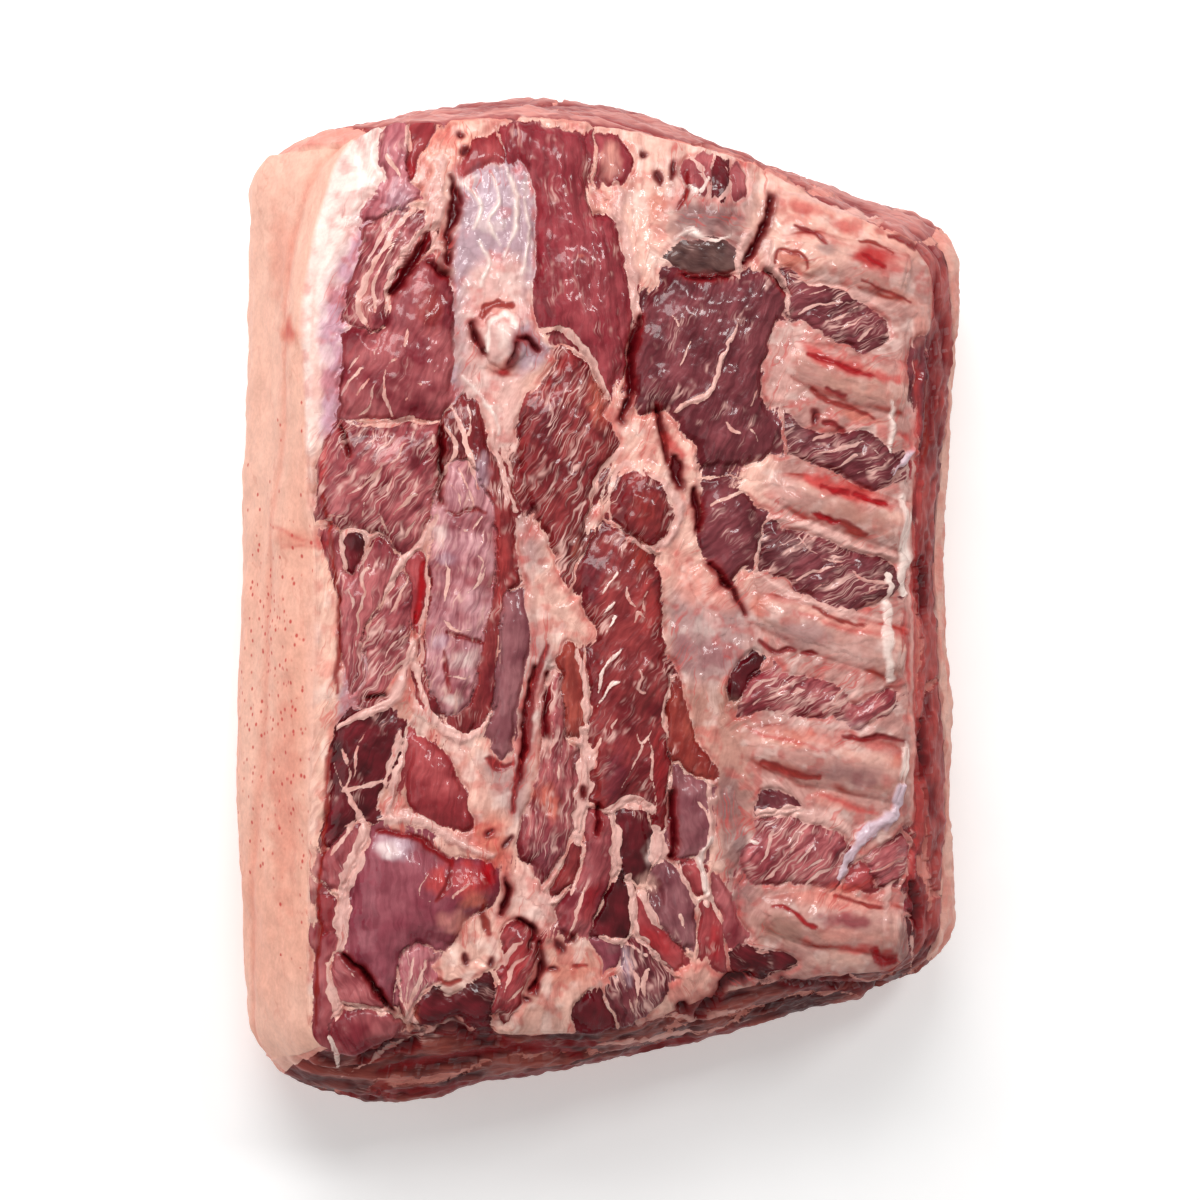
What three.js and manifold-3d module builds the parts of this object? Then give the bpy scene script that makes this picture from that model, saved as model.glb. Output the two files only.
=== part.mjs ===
// A bone-in pork loin, lying on its rind with the bone side up: the block of lean meat,
// the layer of back fat with its rind, six ribs, and three bits of bone that show in the meat.
// Millimetres. +X points across the loin to the ribs, +Y along it, +Z up, z = 0 is under the rind.
import * as THREE from "three";
import { mergeVertices } from "three/addons/utils/BufferGeometryUtils.js";
import Module from "manifold-3d";

const wasm = await Module();
wasm.setup();

// ---------- driving sizes ----------

// Outlines of the block at three heights. left and right hold x at even steps from the near end
// to the far end; near and far hold y at even steps from the left side to the right side.
const BELLY = {
  left: [-101, -103.5, -105, -103, -102, -100.5, -100],
  right: [104, 102.5, 102.5, 100.5, 101.5, 103.5, 105],
  near: [-131, -141.5, -137, -132, -124.5, -116, -104],
  far: [127, 135, 141.5, 140.5, 128.5, 117.5, 109],
};
const RIM = {
  left: [-88, -88.5, -87.5, -85.5, -88.5, -88.5, -78],
  right: [80, 81, 81.5, 81.5, 81.5, 85, 86],
  near: [-125, -115.5, -117, -117, -107, -103.5, -104.5],
  far: [127.5, 129, 130.5, 127, 121, 108, 98.5],
};
const FOOT_SCALE = 0.92; // the face it rests on, against the belly outline
const BELLY_AT = 0.46; // height of the belly outline, as a share of the full height
const CORNER_RADIUS = 14;
const WALL_CURVE = 1.35; // over 1, the wall leans in more near the face
const SWELL = 1.3; // unevenness of the side walls

// Height of the bone face across the loin, and what is added along it, at even steps.
const HEIGHT_ACROSS = [74, 77.5, 77.5, 75.5, 75.5, 72.5, 66];
const HEIGHT_ALONG = [-2, 0.5, 1, 0.5, 1, 1, -1.5];
const HALF_WIDTH = 95;
const HALF_LENGTH = 130;
const EDGE_DROP = 4; // how much lower the face is at its rim, and over what width
const EDGE_WIDTH = 13;
const RIM_RISE_SHARE = 0.35; // how much of a muscle's rise is left at the rim

// The muscles of the bone face are placed on a level plan, carried onto the rounded face along
// lines through this point high above it.
const PLAN_POINT = { x: -149.4, z: 867.8 };
const PLAN_LEVEL = 80;

// Muscles and pads of fat that stand up from the face: middle, half length along the muscle,
// half width, turn from +Y in degrees (towards -X) and rise.
const MUSCLES = [
  { name: "upper left", x: -64, y: 114, long: 15, wide: 7, turn: 0, rise: 2.5 },
  { name: "smooth left", x: -60, y: 69, long: 23, wide: 11, turn: -12, rise: 4 },
  { name: "marbled left", x: -70, y: 30, long: 19, wide: 18, turn: 0, rise: 4 },
  { name: "streaked left", x: -70, y: -8, long: 26, wide: 12, turn: 0, rise: 3 },
  { name: "silverskin", x: -40, y: 94, long: 27, wide: 11, turn: 0, rise: 3 },
  { name: "gristle pad", x: -37, y: 52, long: 28, wide: 8, turn: 5, rise: 2.5 },
  { name: "upper middle", x: -17, y: 96, long: 38, wide: 13, turn: 0, rise: 4.5 },
  { name: "lower middle", x: -20, y: 34, long: 31, wide: 11, turn: -5, rise: 4 },
  { name: "glossy", x: -47, y: 5, long: 43, wide: 12.5, turn: 0, rise: 5.5 },
  { name: "sliver", x: -35, y: -22, long: 25, wide: 5, turn: -4, rise: 3 },
  { name: "centre strip", x: -2, y: -20, long: 40, wide: 10, turn: 0, rise: 4.5 },
  { name: "purple", x: 19, y: 66, long: 28, wide: 19, turn: 12, rise: 4 },
  { name: "purple tail", x: 25, y: 18, long: 14, wide: 9, turn: 0, rise: 3 },
  { name: "triangle", x: -54, y: -50, long: 13, wide: 9, turn: 30, rise: 3 },
  { name: "big lower left", x: -65, y: -84, long: 28, wide: 20, turn: 0, rise: 6 },
  { name: "red lower left", x: -47, y: -78, long: 14, wide: 12, turn: 0, rise: 4 },
  { name: "lower left fat", x: -47, y: -98, long: 12, wide: 13, turn: 0, rise: 3 },
  { name: "corner", x: -73, y: -112, long: 13, wide: 11, turn: 0, rise: 3.5 },
  { name: "folded", x: -33, y: -98, long: 17, wide: 8, turn: -20, rise: 3.5 },
  { name: "grey strip", x: -24, y: -60, long: 20, wide: 7, turn: 5, rise: 3.5 },
  { name: "dark strip", x: -13, y: -78, long: 17, wide: 6, turn: -30, rise: 3.5 },
  { name: "blood strip", x: -3, y: -66, long: 14, wide: 6, turn: 0, rise: 3 },
  { name: "right strip", x: 14, y: -59, long: 18, wide: 7.5, turn: 0, rise: 3.5 },
  { name: "red right strip", x: 8, y: -86, long: 17, wide: 7, turn: 15, rise: 3 },
  { name: "round end", x: 0, y: -104, long: 13, wide: 9, turn: 0, rise: 3.5 },
  { name: "dark knob", x: -13, y: -112, long: 8, wide: 7, turn: 0, rise: 3 },
  { name: "lower right fat", x: 21, y: -88, long: 15, wide: 7, turn: -10, rise: 3 },
];
const MUSCLE_ROUNDNESS = 0.75;

// Ribs, on the same plan: from the spine end to the sawn end.
const RIBS = [
  { from: [40, 96.5], to: [75, 88.5], wide: 14 },
  { from: [42, 66], to: [75, 57.5], wide: 15 },
  { from: [38, 31], to: [75, 20], wide: 14 },
  { from: [33, -2], to: [74, -15], wide: 15 },
  { from: [31, -39], to: [74, -48.5], wide: 16 },
  { from: [34, -85], to: [74, -91], wide: 15 },
];
const RIB_HEIGHT = 10;
const RIB_PROUD = 3;
const RIB_SIDES = 12;
const RIB_STEPS = 7;
const RIB_ROOT_SHARE = 0.55; // how slim a rib gets where it goes into the meat
const RIB_FLARE_AT = 0.4; // where along its length it has its full girth

// Bits of bone that show in the face, on the same plan, and how far each stands out of it.
const BONES = [
  { name: "chine_bone", x: 20, y: 104, radii: [10, 15, 7], proud: 3.5, lumps: 0.1 },
  { name: "feather_bone", x: 2, y: 25, radii: [8.5, 10.5, 6], proud: 4.5, lumps: 0.05 },
  { name: "blade_cartilage", x: -37, y: 70, radii: [6.5, 8.5, 5], proud: 4.5, lumps: 0.06 },
];

// The fat layer: a slab underneath, a wall up the left side, and a lip up the right side.
const SLAB = 14;
const LEFT_WALL = 9; // at the belly
const RIGHT_LIP = 13; // at the slab
const RIGHT_LIP_TOP = 47; // height where the lean comes out at the right wall
const LIP_STEP = 4; // rise of the lip's upper face
const LEFT_CORNER = 14; // width of the rounding between the slab and the left wall
const INNER_CORNER = { wide: 4, high: 5 };
// The left wall leans in from the belly to the face: height over the belly, and share of the lean.
const LEFT_WALL_LEAN = [[-6, 0], [8, 0.2], [22, 0.6]];
const CORE_TOP = 110;
const CORE_REACH = 160; // half length of the lean core, past both ends
const CORE_STATIONS = 24;
// Edge between the lean and the fat on the bone face, from the near end to the far end: y, x.
const LEAN_EDGE = [
  [-125, -84.5], [-95, -85], [-66, -84.5], [-36, -82], [-14, -80.5], [4, -81], [22, -85],
  [60, -85.5], [78, -85], [92, -80], [103, -74.5], [113, -69], [121, -71], [128, -67.5],
];
const LEAN_SLOPE = 16; // how much further out the lean is at the belly than at the face

const FIT_GAP = 0.3; // between a piece and what it is set in
const GRID_ACROSS = 38;
const GRID_ALONG = 50;
const WALL_STEPS = [0, 0.04, 0.18, 0.4, 0.62, 0.8, 0.93]; // shares of the full height
const BONE_SIDES = { around: 14, up: 9 };

const COLOURS = { lean: 0x8c3a42, fat: 0xf0c8ae, rib: 0xdcaea0, bone: 0xd8c4b8 };

// ---------- small helpers ----------

const mix = (a, b, t) => a + (b - a) * t;
const clamp = (t) => Math.min(1, Math.max(0, t));

// A smooth curve through evenly spaced values, read at t from 0 to 1.
function along(values, t) {
  const last = values.length - 1;
  const place = clamp(t) * last;
  const i = Math.min(last - 1, Math.floor(place));
  const f = place - i;
  const [b, c] = [values[i], values[i + 1]];
  const a = i > 0 ? values[i - 1] : 2 * b - c;
  const d = i + 2 <= last ? values[i + 2] : 2 * c - b;
  const turn = 2 * a - 5 * b + 4 * c - d;
  return b + 0.5 * f * (c - a + f * (turn + f * (3 * (b - c) + d - a)));
}

// A straight-line curve through [place, value] pairs.
function between(pairs, place) {
  const next = pairs.findIndex((pair) => pair[0] >= place);
  if (next < 0) return pairs[pairs.length - 1][1];
  if (next === 0) return pairs[0][1];
  const [a, b] = [pairs[next - 1], pairs[next]];
  return mix(a[1], b[1], (place - a[0]) / (b[0] - a[0]));
}

// ---------- the form of the block ----------

// u and v run from -1 to 1 over the block; this turns the square's corners round.
function roundedCorner(u, v) {
  const size = Math.max(Math.abs(u), Math.abs(v));
  if (size === 0) return [0, 0];
  const reach = [CORNER_RADIUS / HALF_WIDTH, CORNER_RADIUS / HALF_LENGTH];
  const over = [u, v].map((c, k) => (Math.abs(c) / size - 1) / reach[k] + 1);
  if (Math.min(...over) <= 0) return [u, v];
  const length = Math.hypot(...over);
  return [u, v].map((c, k) => Math.sign(c) * size * (1 + (over[k] / length - 1) * reach[k]));
}

function pointOn(outline, u, v) {
  const [tu, tv] = [(u + 1) / 2, (v + 1) / 2];
  const x = mix(along(outline.left, tv), along(outline.right, tv), tu);
  const y = mix(along(outline.near, tu), along(outline.far, tu), tv);
  return [x, y];
}

const swellAt = (x, y, rise) =>
  SWELL * Math.sin(y / 17 + 3 * rise) * Math.cos(x / 21 - 2 * rise) * Math.sin(Math.PI * rise);

// A point of the side wall, at a share of the full height.
function wallPoint(u, v, share) {
  const belly = pointOn(BELLY, u, v);
  if (share < BELLY_AT) {
    const t = 1 - share / BELLY_AT;
    const scale = mix(1, FOOT_SCALE, t * t * t);
    return belly.map((c) => c * scale);
  }
  const rim = pointOn(RIM, u, v);
  const t = ((share - BELLY_AT) / (1 - BELLY_AT)) ** WALL_CURVE;
  const out = 1 + swellAt(...belly, t) / Math.hypot(...belly);
  return [mix(belly[0], rim[0], t) * out, mix(belly[1], rim[1], t) * out];
}

// The face without its muscles.
function groundHeight(x, y) {
  const across = along(HEIGHT_ACROSS, (x / HALF_WIDTH + 1) / 2);
  return across + along(HEIGHT_ALONG, (y / HALF_LENGTH + 1) / 2);
}

function toPlan(x, y) {
  const scale = (PLAN_POINT.z - groundHeight(x, y)) / (PLAN_POINT.z - PLAN_LEVEL);
  return [PLAN_POINT.x + (x - PLAN_POINT.x) / scale, y / scale];
}

function fromPlan(px, py) {
  let [x, y] = [px, py];
  for (let pass = 0; pass < 3; pass++) {
    const scale = (PLAN_POINT.z - groundHeight(x, y)) / (PLAN_POINT.z - PLAN_LEVEL);
    [x, y] = [PLAN_POINT.x + (px - PLAN_POINT.x) * scale, py * scale];
  }
  return [x, y];
}

function muscleRise(muscle, px, py) {
  const turn = THREE.MathUtils.degToRad(muscle.turn);
  const [dx, dy] = [px - muscle.x, py - muscle.y];
  const lengthwise = (dy * Math.cos(turn) - dx * Math.sin(turn)) / muscle.long;
  const sideways = (dx * Math.cos(turn) + dy * Math.sin(turn)) / muscle.wide;
  const inside = 1 - lengthwise ** 2 - sideways ** 2;
  return inside > 0 ? muscle.rise * inside ** MUSCLE_ROUNDNESS : 0;
}

// Height of the bone face; edge is how far the point is in from the rim, in millimetres.
function faceHeight(x, y, edge) {
  const [px, py] = toPlan(x, y);
  const rise = Math.max(...MUSCLES.map((muscle) => muscleRise(muscle, px, py)));
  const drop = EDGE_DROP * (1 - clamp(edge / EDGE_WIDTH)) ** 2;
  return groundHeight(x, y) + rise * clamp(RIM_RISE_SHARE + edge / EDGE_WIDTH) - drop;
}

function facePoint(u, v) {
  const [x, y] = pointOn(RIM, ...roundedCorner(u, v));
  const edge = Math.min((1 - Math.abs(u)) * HALF_WIDTH, (1 - Math.abs(v)) * HALF_LENGTH);
  return [x, y, faceHeight(x, y, edge)];
}

// ---------- solids ----------

// A closed solid from points and triangles, turned so that its faces point outwards.
function solidOf(points, triangles) {
  const make = (corners) =>
    new wasm.Manifold(
      new wasm.Mesh({
        numProp: 3,
        vertProperties: new Float32Array(points.flat()),
        triVerts: new Uint32Array(corners.flat()),
      }),
    );
  const solid = make(triangles);
  return solid.volume() > 0 ? solid : make(triangles.map(([a, b, c]) => [a, c, b]));
}

// A solid through rings of equally many points, closed at both ends by a fan.
function loftedSolid(rings) {
  const count = rings[0].length;
  const points = rings.flat();
  const triangles = [];
  for (let r = 0; r + 1 < rings.length; r++) {
    for (let i = 0; i < count; i++) {
      const j = (i + 1) % count;
      const [a, b, c, d] = [r * count + i, r * count + j, (r + 1) * count + j, (r + 1) * count + i];
      triangles.push([a, b, c], [a, c, d]);
    }
  }
  for (const [ring, flip] of [[0, true], [rings.length - 1, false]]) {
    const middle = points.length;
    const sum = rings[ring].reduce((s, p) => s.map((c, k) => c + p[k]), [0, 0, 0]);
    points.push(sum.map((c) => c / count));
    for (let i = 0; i < count; i++) {
      const pair = [ring * count + i, ring * count + ((i + 1) % count)];
      if (flip) pair.reverse();
      triangles.push([middle, ...pair]);
    }
  }
  return solidOf(points, triangles);
}

// The whole block: the grid of the bone face, the walls below its rim, and the flat foot.
function blockSolid() {
  const points = [];
  const triangles = [];
  const index = (i, j) => j * (GRID_ACROSS + 1) + i;
  for (let j = 0; j <= GRID_ALONG; j++) {
    for (let i = 0; i <= GRID_ACROSS; i++) {
      points.push(facePoint((2 * i) / GRID_ACROSS - 1, (2 * j) / GRID_ALONG - 1));
    }
  }
  for (let j = 0; j < GRID_ALONG; j++) {
    for (let i = 0; i < GRID_ACROSS; i++) {
      const [a, b, c, d] = [index(i, j), index(i + 1, j), index(i + 1, j + 1), index(i, j + 1)];
      const rising = (i < GRID_ACROSS / 2) === (j < GRID_ALONG / 2);
      if (rising) triangles.push([a, b, c], [a, c, d]);
      else triangles.push([a, b, d], [b, c, d]);
    }
  }
  const rim = [];
  for (let i = 0; i < GRID_ACROSS; i++) rim.push([i, 0]);
  for (let j = 0; j < GRID_ALONG; j++) rim.push([GRID_ACROSS, j]);
  for (let i = GRID_ACROSS; i > 0; i--) rim.push([i, GRID_ALONG]);
  for (let j = GRID_ALONG; j > 0; j--) rim.push([0, j]);
  let above = rim.map(([i, j]) => index(i, j));
  for (const share of [...WALL_STEPS].reverse()) {
    const row = rim.map(([i, j]) => {
      const corner = roundedCorner((2 * i) / GRID_ACROSS - 1, (2 * j) / GRID_ALONG - 1);
      const [x, y] = wallPoint(...corner, share);
      points.push([x, y, share * points[index(i, j)][2]]);
      return points.length - 1;
    });
    row.forEach((low, k) => {
      const next = (k + 1) % row.length;
      triangles.push([low, row[next], above[next]], [low, above[next], above[k]]);
    });
    above = row;
  }
  points.push([0, 0, 0]);
  above.forEach((low, k) => triangles.push([points.length - 1, above[(k + 1) % above.length], low]));
  return solidOf(points, triangles);
}

// The space that the lean fills: open at both ends, at the face and high on the right.
function coreSolid(grow) {
  const rings = [];
  for (let s = 0; s <= CORE_STATIONS; s++) {
    const y = mix(-CORE_REACH, CORE_REACH, s / CORE_STATIONS);
    const tv = clamp((y / HALF_LENGTH + 1) / 2);
    const faceLeft = between(LEAN_EDGE, y);
    const bellyLeft = Math.max(along(BELLY.left, tv) + LEFT_WALL, faceLeft - LEAN_SLOPE);
    const right = along(BELLY.right, tv);
    const bellyHeight = BELLY_AT * PLAN_LEVEL;
    const leftWall = [
      [bellyLeft + LEFT_CORNER, SLAB - grow],
      [bellyLeft + INNER_CORNER.wide, SLAB + INNER_CORNER.high],
      ...LEFT_WALL_LEAN.map(([up, share]) => [mix(bellyLeft, faceLeft, share), bellyHeight + up]),
      [faceLeft, groundHeight(faceLeft, y)],
      [faceLeft, CORE_TOP],
    ];
    const rightWall = [
      [right - 2 * RIGHT_LIP, SLAB - grow],
      [right - RIGHT_LIP, SLAB + INNER_CORNER.high],
      [right - RIGHT_LIP / 2, RIGHT_LIP_TOP],
      [right + RIGHT_LIP, RIGHT_LIP_TOP + LIP_STEP],
      [right + RIGHT_LIP, CORE_TOP],
    ];
    const ring = leftWall.map(([x, z]) => [x - grow, y, z]);
    rings.push([...ring, ...rightWall.reverse().map(([x, z]) => [x + grow, y, z])]);
  }
  return loftedSolid(rings);
}

// One rib: a flat-oval bar along the face, slim at the spine and sawn off square.
function ribSolid(rib, grow) {
  const [start, end] = [fromPlan(...rib.from), fromPlan(...rib.to)];
  const run = Math.hypot(end[0] - start[0], end[1] - start[1]);
  const [dx, dy] = [(end[0] - start[0]) / run, (end[1] - start[1]) / run];
  const rings = [];
  for (let s = 0; s <= RIB_STEPS; s++) {
    const t = s / RIB_STEPS;
    const reach = mix(-grow, run + grow, t);
    const [x, y] = [start[0] + dx * reach, start[1] + dy * reach];
    const girth = mix(RIB_ROOT_SHARE, 1, Math.sin((Math.PI / 2) * clamp(t / RIB_FLARE_AT)));
    const [halfWide, halfHigh] = [(rib.wide / 2) * girth + grow, (RIB_HEIGHT / 2) * girth + grow];
    const middle = groundHeight(x, y) + RIB_PROUD * girth - (RIB_HEIGHT / 2) * girth;
    const ring = [];
    for (let i = 0; i < RIB_SIDES; i++) {
      const angle = (2 * Math.PI * i) / RIB_SIDES;
      const side = halfWide * Math.cos(angle);
      ring.push([x - dy * side, y + dx * side, middle + halfHigh * Math.sin(angle)]);
    }
    rings.push(ring);
  }
  return loftedSolid(rings);
}

// A lumpy bit of bone set in the face.
function boneSolid(bone, grow) {
  const sphere = new THREE.SphereGeometry(1, BONE_SIDES.around, BONE_SIDES.up);
  sphere.deleteAttribute("normal");
  sphere.deleteAttribute("uv");
  const merged = mergeVertices(sphere);
  const [x, y] = fromPlan(bone.x, bone.y);
  const z = groundHeight(x, y) + bone.proud - bone.radii[2];
  const points = [];
  const spot = new THREE.Vector3(); // a point of the ball of radius 1
  for (let i = 0; i < merged.attributes.position.count; i++) {
    spot.fromBufferAttribute(merged.attributes.position, i);
    const lump = 1 + bone.lumps * Math.sin(5 * spot.x + 1) * Math.cos(6 * spot.y);
    const [a, b, c] = [spot.x, spot.y, spot.z].map((s, k) => s * (bone.radii[k] * lump + grow));
    points.push([x + a, y + b, z + c]);
  }
  const triangles = [];
  for (let i = 0; i < merged.index.count; i += 3) {
    triangles.push([0, 1, 2].map((k) => merged.index.getX(i + k)));
  }
  return solidOf(points, triangles);
}

// ---------- the loin ----------

function meshOf(name, solid, color, roughness) {
  const data = solid.getMesh();
  const geometry = new THREE.BufferGeometry();
  geometry.setAttribute("position", new THREE.BufferAttribute(data.vertProperties, 3));
  geometry.setIndex(new THREE.BufferAttribute(data.triVerts, 1));
  geometry.computeVertexNormals();
  const material = new THREE.MeshStandardMaterial({ color, roughness, metalness: 0 });
  const mesh = new THREE.Mesh(geometry, material);
  mesh.name = name;
  return mesh;
}

const loin = new THREE.Group();
const block = blockSolid();
let meat = block.intersect(coreSolid(0));

RIBS.forEach((rib, k) => {
  meat = meat.subtract(ribSolid(rib, FIT_GAP));
  loin.add(meshOf(`rib_${k + 1}`, ribSolid(rib, 0), COLOURS.rib, 0.45));
});
for (const bone of BONES) {
  meat = meat.subtract(boneSolid(bone, FIT_GAP));
  loin.add(meshOf(bone.name, boneSolid(bone, 0), COLOURS.bone, 0.5));
}
loin.add(meshOf("loin_meat", meat, COLOURS.lean, 0.35));
loin.add(meshOf("fat_and_rind", block.subtract(coreSolid(FIT_GAP)), COLOURS.fat, 0.5));

export default loin;
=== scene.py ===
import itertools
import math
import re

import bpy
import numpy as np
from mathutils import Matrix


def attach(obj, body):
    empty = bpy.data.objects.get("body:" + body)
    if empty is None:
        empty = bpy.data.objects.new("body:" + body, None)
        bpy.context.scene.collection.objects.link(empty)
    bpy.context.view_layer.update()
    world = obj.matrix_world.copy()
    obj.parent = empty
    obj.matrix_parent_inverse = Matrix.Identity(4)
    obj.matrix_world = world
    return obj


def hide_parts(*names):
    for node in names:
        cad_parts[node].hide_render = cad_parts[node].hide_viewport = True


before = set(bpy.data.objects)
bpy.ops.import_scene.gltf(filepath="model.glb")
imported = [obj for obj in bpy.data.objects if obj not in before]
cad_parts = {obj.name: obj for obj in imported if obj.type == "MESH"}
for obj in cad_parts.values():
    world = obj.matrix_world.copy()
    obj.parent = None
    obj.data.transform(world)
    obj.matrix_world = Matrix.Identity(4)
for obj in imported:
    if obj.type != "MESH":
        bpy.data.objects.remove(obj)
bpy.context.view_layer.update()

MM = 0.001
COARSE = 1.0  # grid spacing, times the final one

# ---------- the form of the block, as in the solids ----------

BELLY = {
    "left": [-101, -103.5, -105, -103, -102, -100.5, -100],
    "right": [104, 102.5, 102.5, 100.5, 101.5, 103.5, 105],
    "near": [-131, -141.5, -137, -132, -124.5, -116, -104],
    "far": [127, 135, 141.5, 140.5, 128.5, 117.5, 109],
}
RIM = {
    "left": [-88, -88.5, -87.5, -85.5, -88.5, -88.5, -78],
    "right": [80, 81, 81.5, 81.5, 81.5, 85, 86],
    "near": [-125, -115.5, -117, -117, -107, -103.5, -104.5],
    "far": [127.5, 129, 130.5, 127, 121, 108, 98.5],
}
FOOT_SCALE = 0.92
BELLY_AT = 0.46
CORNER_RADIUS = 14
WALL_CURVE = 1.35
SWELL = 1.3
HEIGHT_ACROSS = [74, 77.5, 77.5, 75.5, 75.5, 72.5, 66]
HEIGHT_ALONG = [-2, 0.5, 1, 0.5, 1, 1, -1.5]
HALF_WIDTH = 95
HALF_LENGTH = 130
EDGE_DROP = 4
EDGE_WIDTH = 13
PLAN_POINT = (-149.4, 867.8)  # x and z of the point that the plan is drawn from
PLAN_LEVEL = 80
LEAN_EDGE = [
    (-125, -84.5), (-95, -85), (-66, -84.5), (-36, -82), (-14, -80.5), (4, -81), (22, -85),
    (60, -85.5), (78, -85), (92, -80), (103, -74.5), (113, -69), (121, -71), (128, -67.5),
]
SLAB = 14
RIBS = [
    {"from": (40, 96.5), "to": (75, 88.5), "wide": 14},
    {"from": (42, 66), "to": (75, 57.5), "wide": 15},
    {"from": (38, 31), "to": (75, 20), "wide": 14},
    {"from": (33, -2), "to": (74, -15), "wide": 15},
    {"from": (31, -39), "to": (74, -48.5), "wide": 16},
    {"from": (34, -85), "to": (74, -91), "wide": 15},
]
RIB_HEIGHT = 10
RIB_PROUD = 3
RIB_ROOT_SHARE = 0.55
RIB_FLARE_AT = 0.4
BONES = [
    {"name": "chine_bone", "at": (20, 104), "radii": (10, 15, 7), "proud": 3.5, "lumps": 0.1},
    {"name": "feather_bone", "at": (2, 25), "radii": (8.5, 10.5, 6), "proud": 4.5, "lumps": 0.05},
    {"name": "blade_cartilage", "at": (-37, 70), "radii": (6.5, 8.5, 5), "proud": 4.5, "lumps": 0.06},
]

# ---------- colours, as they look in daylight, with some painted light and shade among them ---

LEAN_COLOURS = {
    "red": ((136, 40, 50), (160, 66, 72)),
    "bright": ((142, 42, 48), (178, 76, 78)),
    "rose": ((170, 84, 92), (196, 122, 128)),
    "mauve": ((132, 52, 66), (160, 84, 94)),
    "purple": ((98, 34, 42), (132, 62, 68)),
    "dark": ((126, 38, 48), (184, 98, 100)),
    "deep": ((66, 4, 12), (112, 24, 34)),
    "stub": ((74, 44, 42), (126, 90, 84)),
    "brown": ((110, 22, 30), (152, 56, 56)),
    "grey": ((124, 62, 70), (158, 98, 102)),
    "orange": ((138, 44, 38), (170, 76, 64)),
    "glossy": ((160, 84, 90), (214, 156, 160)),
}
COLOURS = {
    "cream": (236, 182, 166),
    "white": (250, 224, 214),
    "film": (206, 156, 170),
    "lavender": (216, 188, 198),
    "silver": (186, 152, 160),
    "pink": (228, 176, 166),
    "salmon": (230, 150, 136),
    "peach": (236, 168, 150),
    "orange": (214, 112, 92),
    "tan": (212, 154, 138),
    "sand": (186, 128, 114),
    "grey": (180, 138, 134),
    "slate": (132, 90, 90),
    "olive": (158, 112, 98),
    "membrane": (192, 136, 128),
    "blood": (166, 0, 14),
    "red": (196, 66, 62),
    "rust": (150, 44, 34),
    "brown": (116, 52, 46),
    "magenta": (140, 38, 54),
    "mauve": (140, 66, 76),
    "purple": (104, 34, 48),
    "dark": (84, 6, 14),
    # dark red of the painted shade in creases and round gaps and holes, and of the red stain round rust and
    # blood
    "shade_and_stain_red": (132, 24, 28),
    # Cut meat of the walls, its own reds in a dark and a light tone for each way a wall faces; the near end's
    # pair is also painted darker, as shade, and the far end's lighter, as lit, with the right side's in
    # between.
    "end_low": (76, 8, 12),
    "end_high": (156, 76, 66),
    "far_low": (150, 60, 60),
    "far_high": (204, 136, 128),
    "side_low": (120, 20, 26),
    "side_high": (176, 76, 72),
    "rind": (238, 185, 165),
    "rind_orange": (236, 170, 148),
}

# ---------- the drawing of the face ----------

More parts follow.
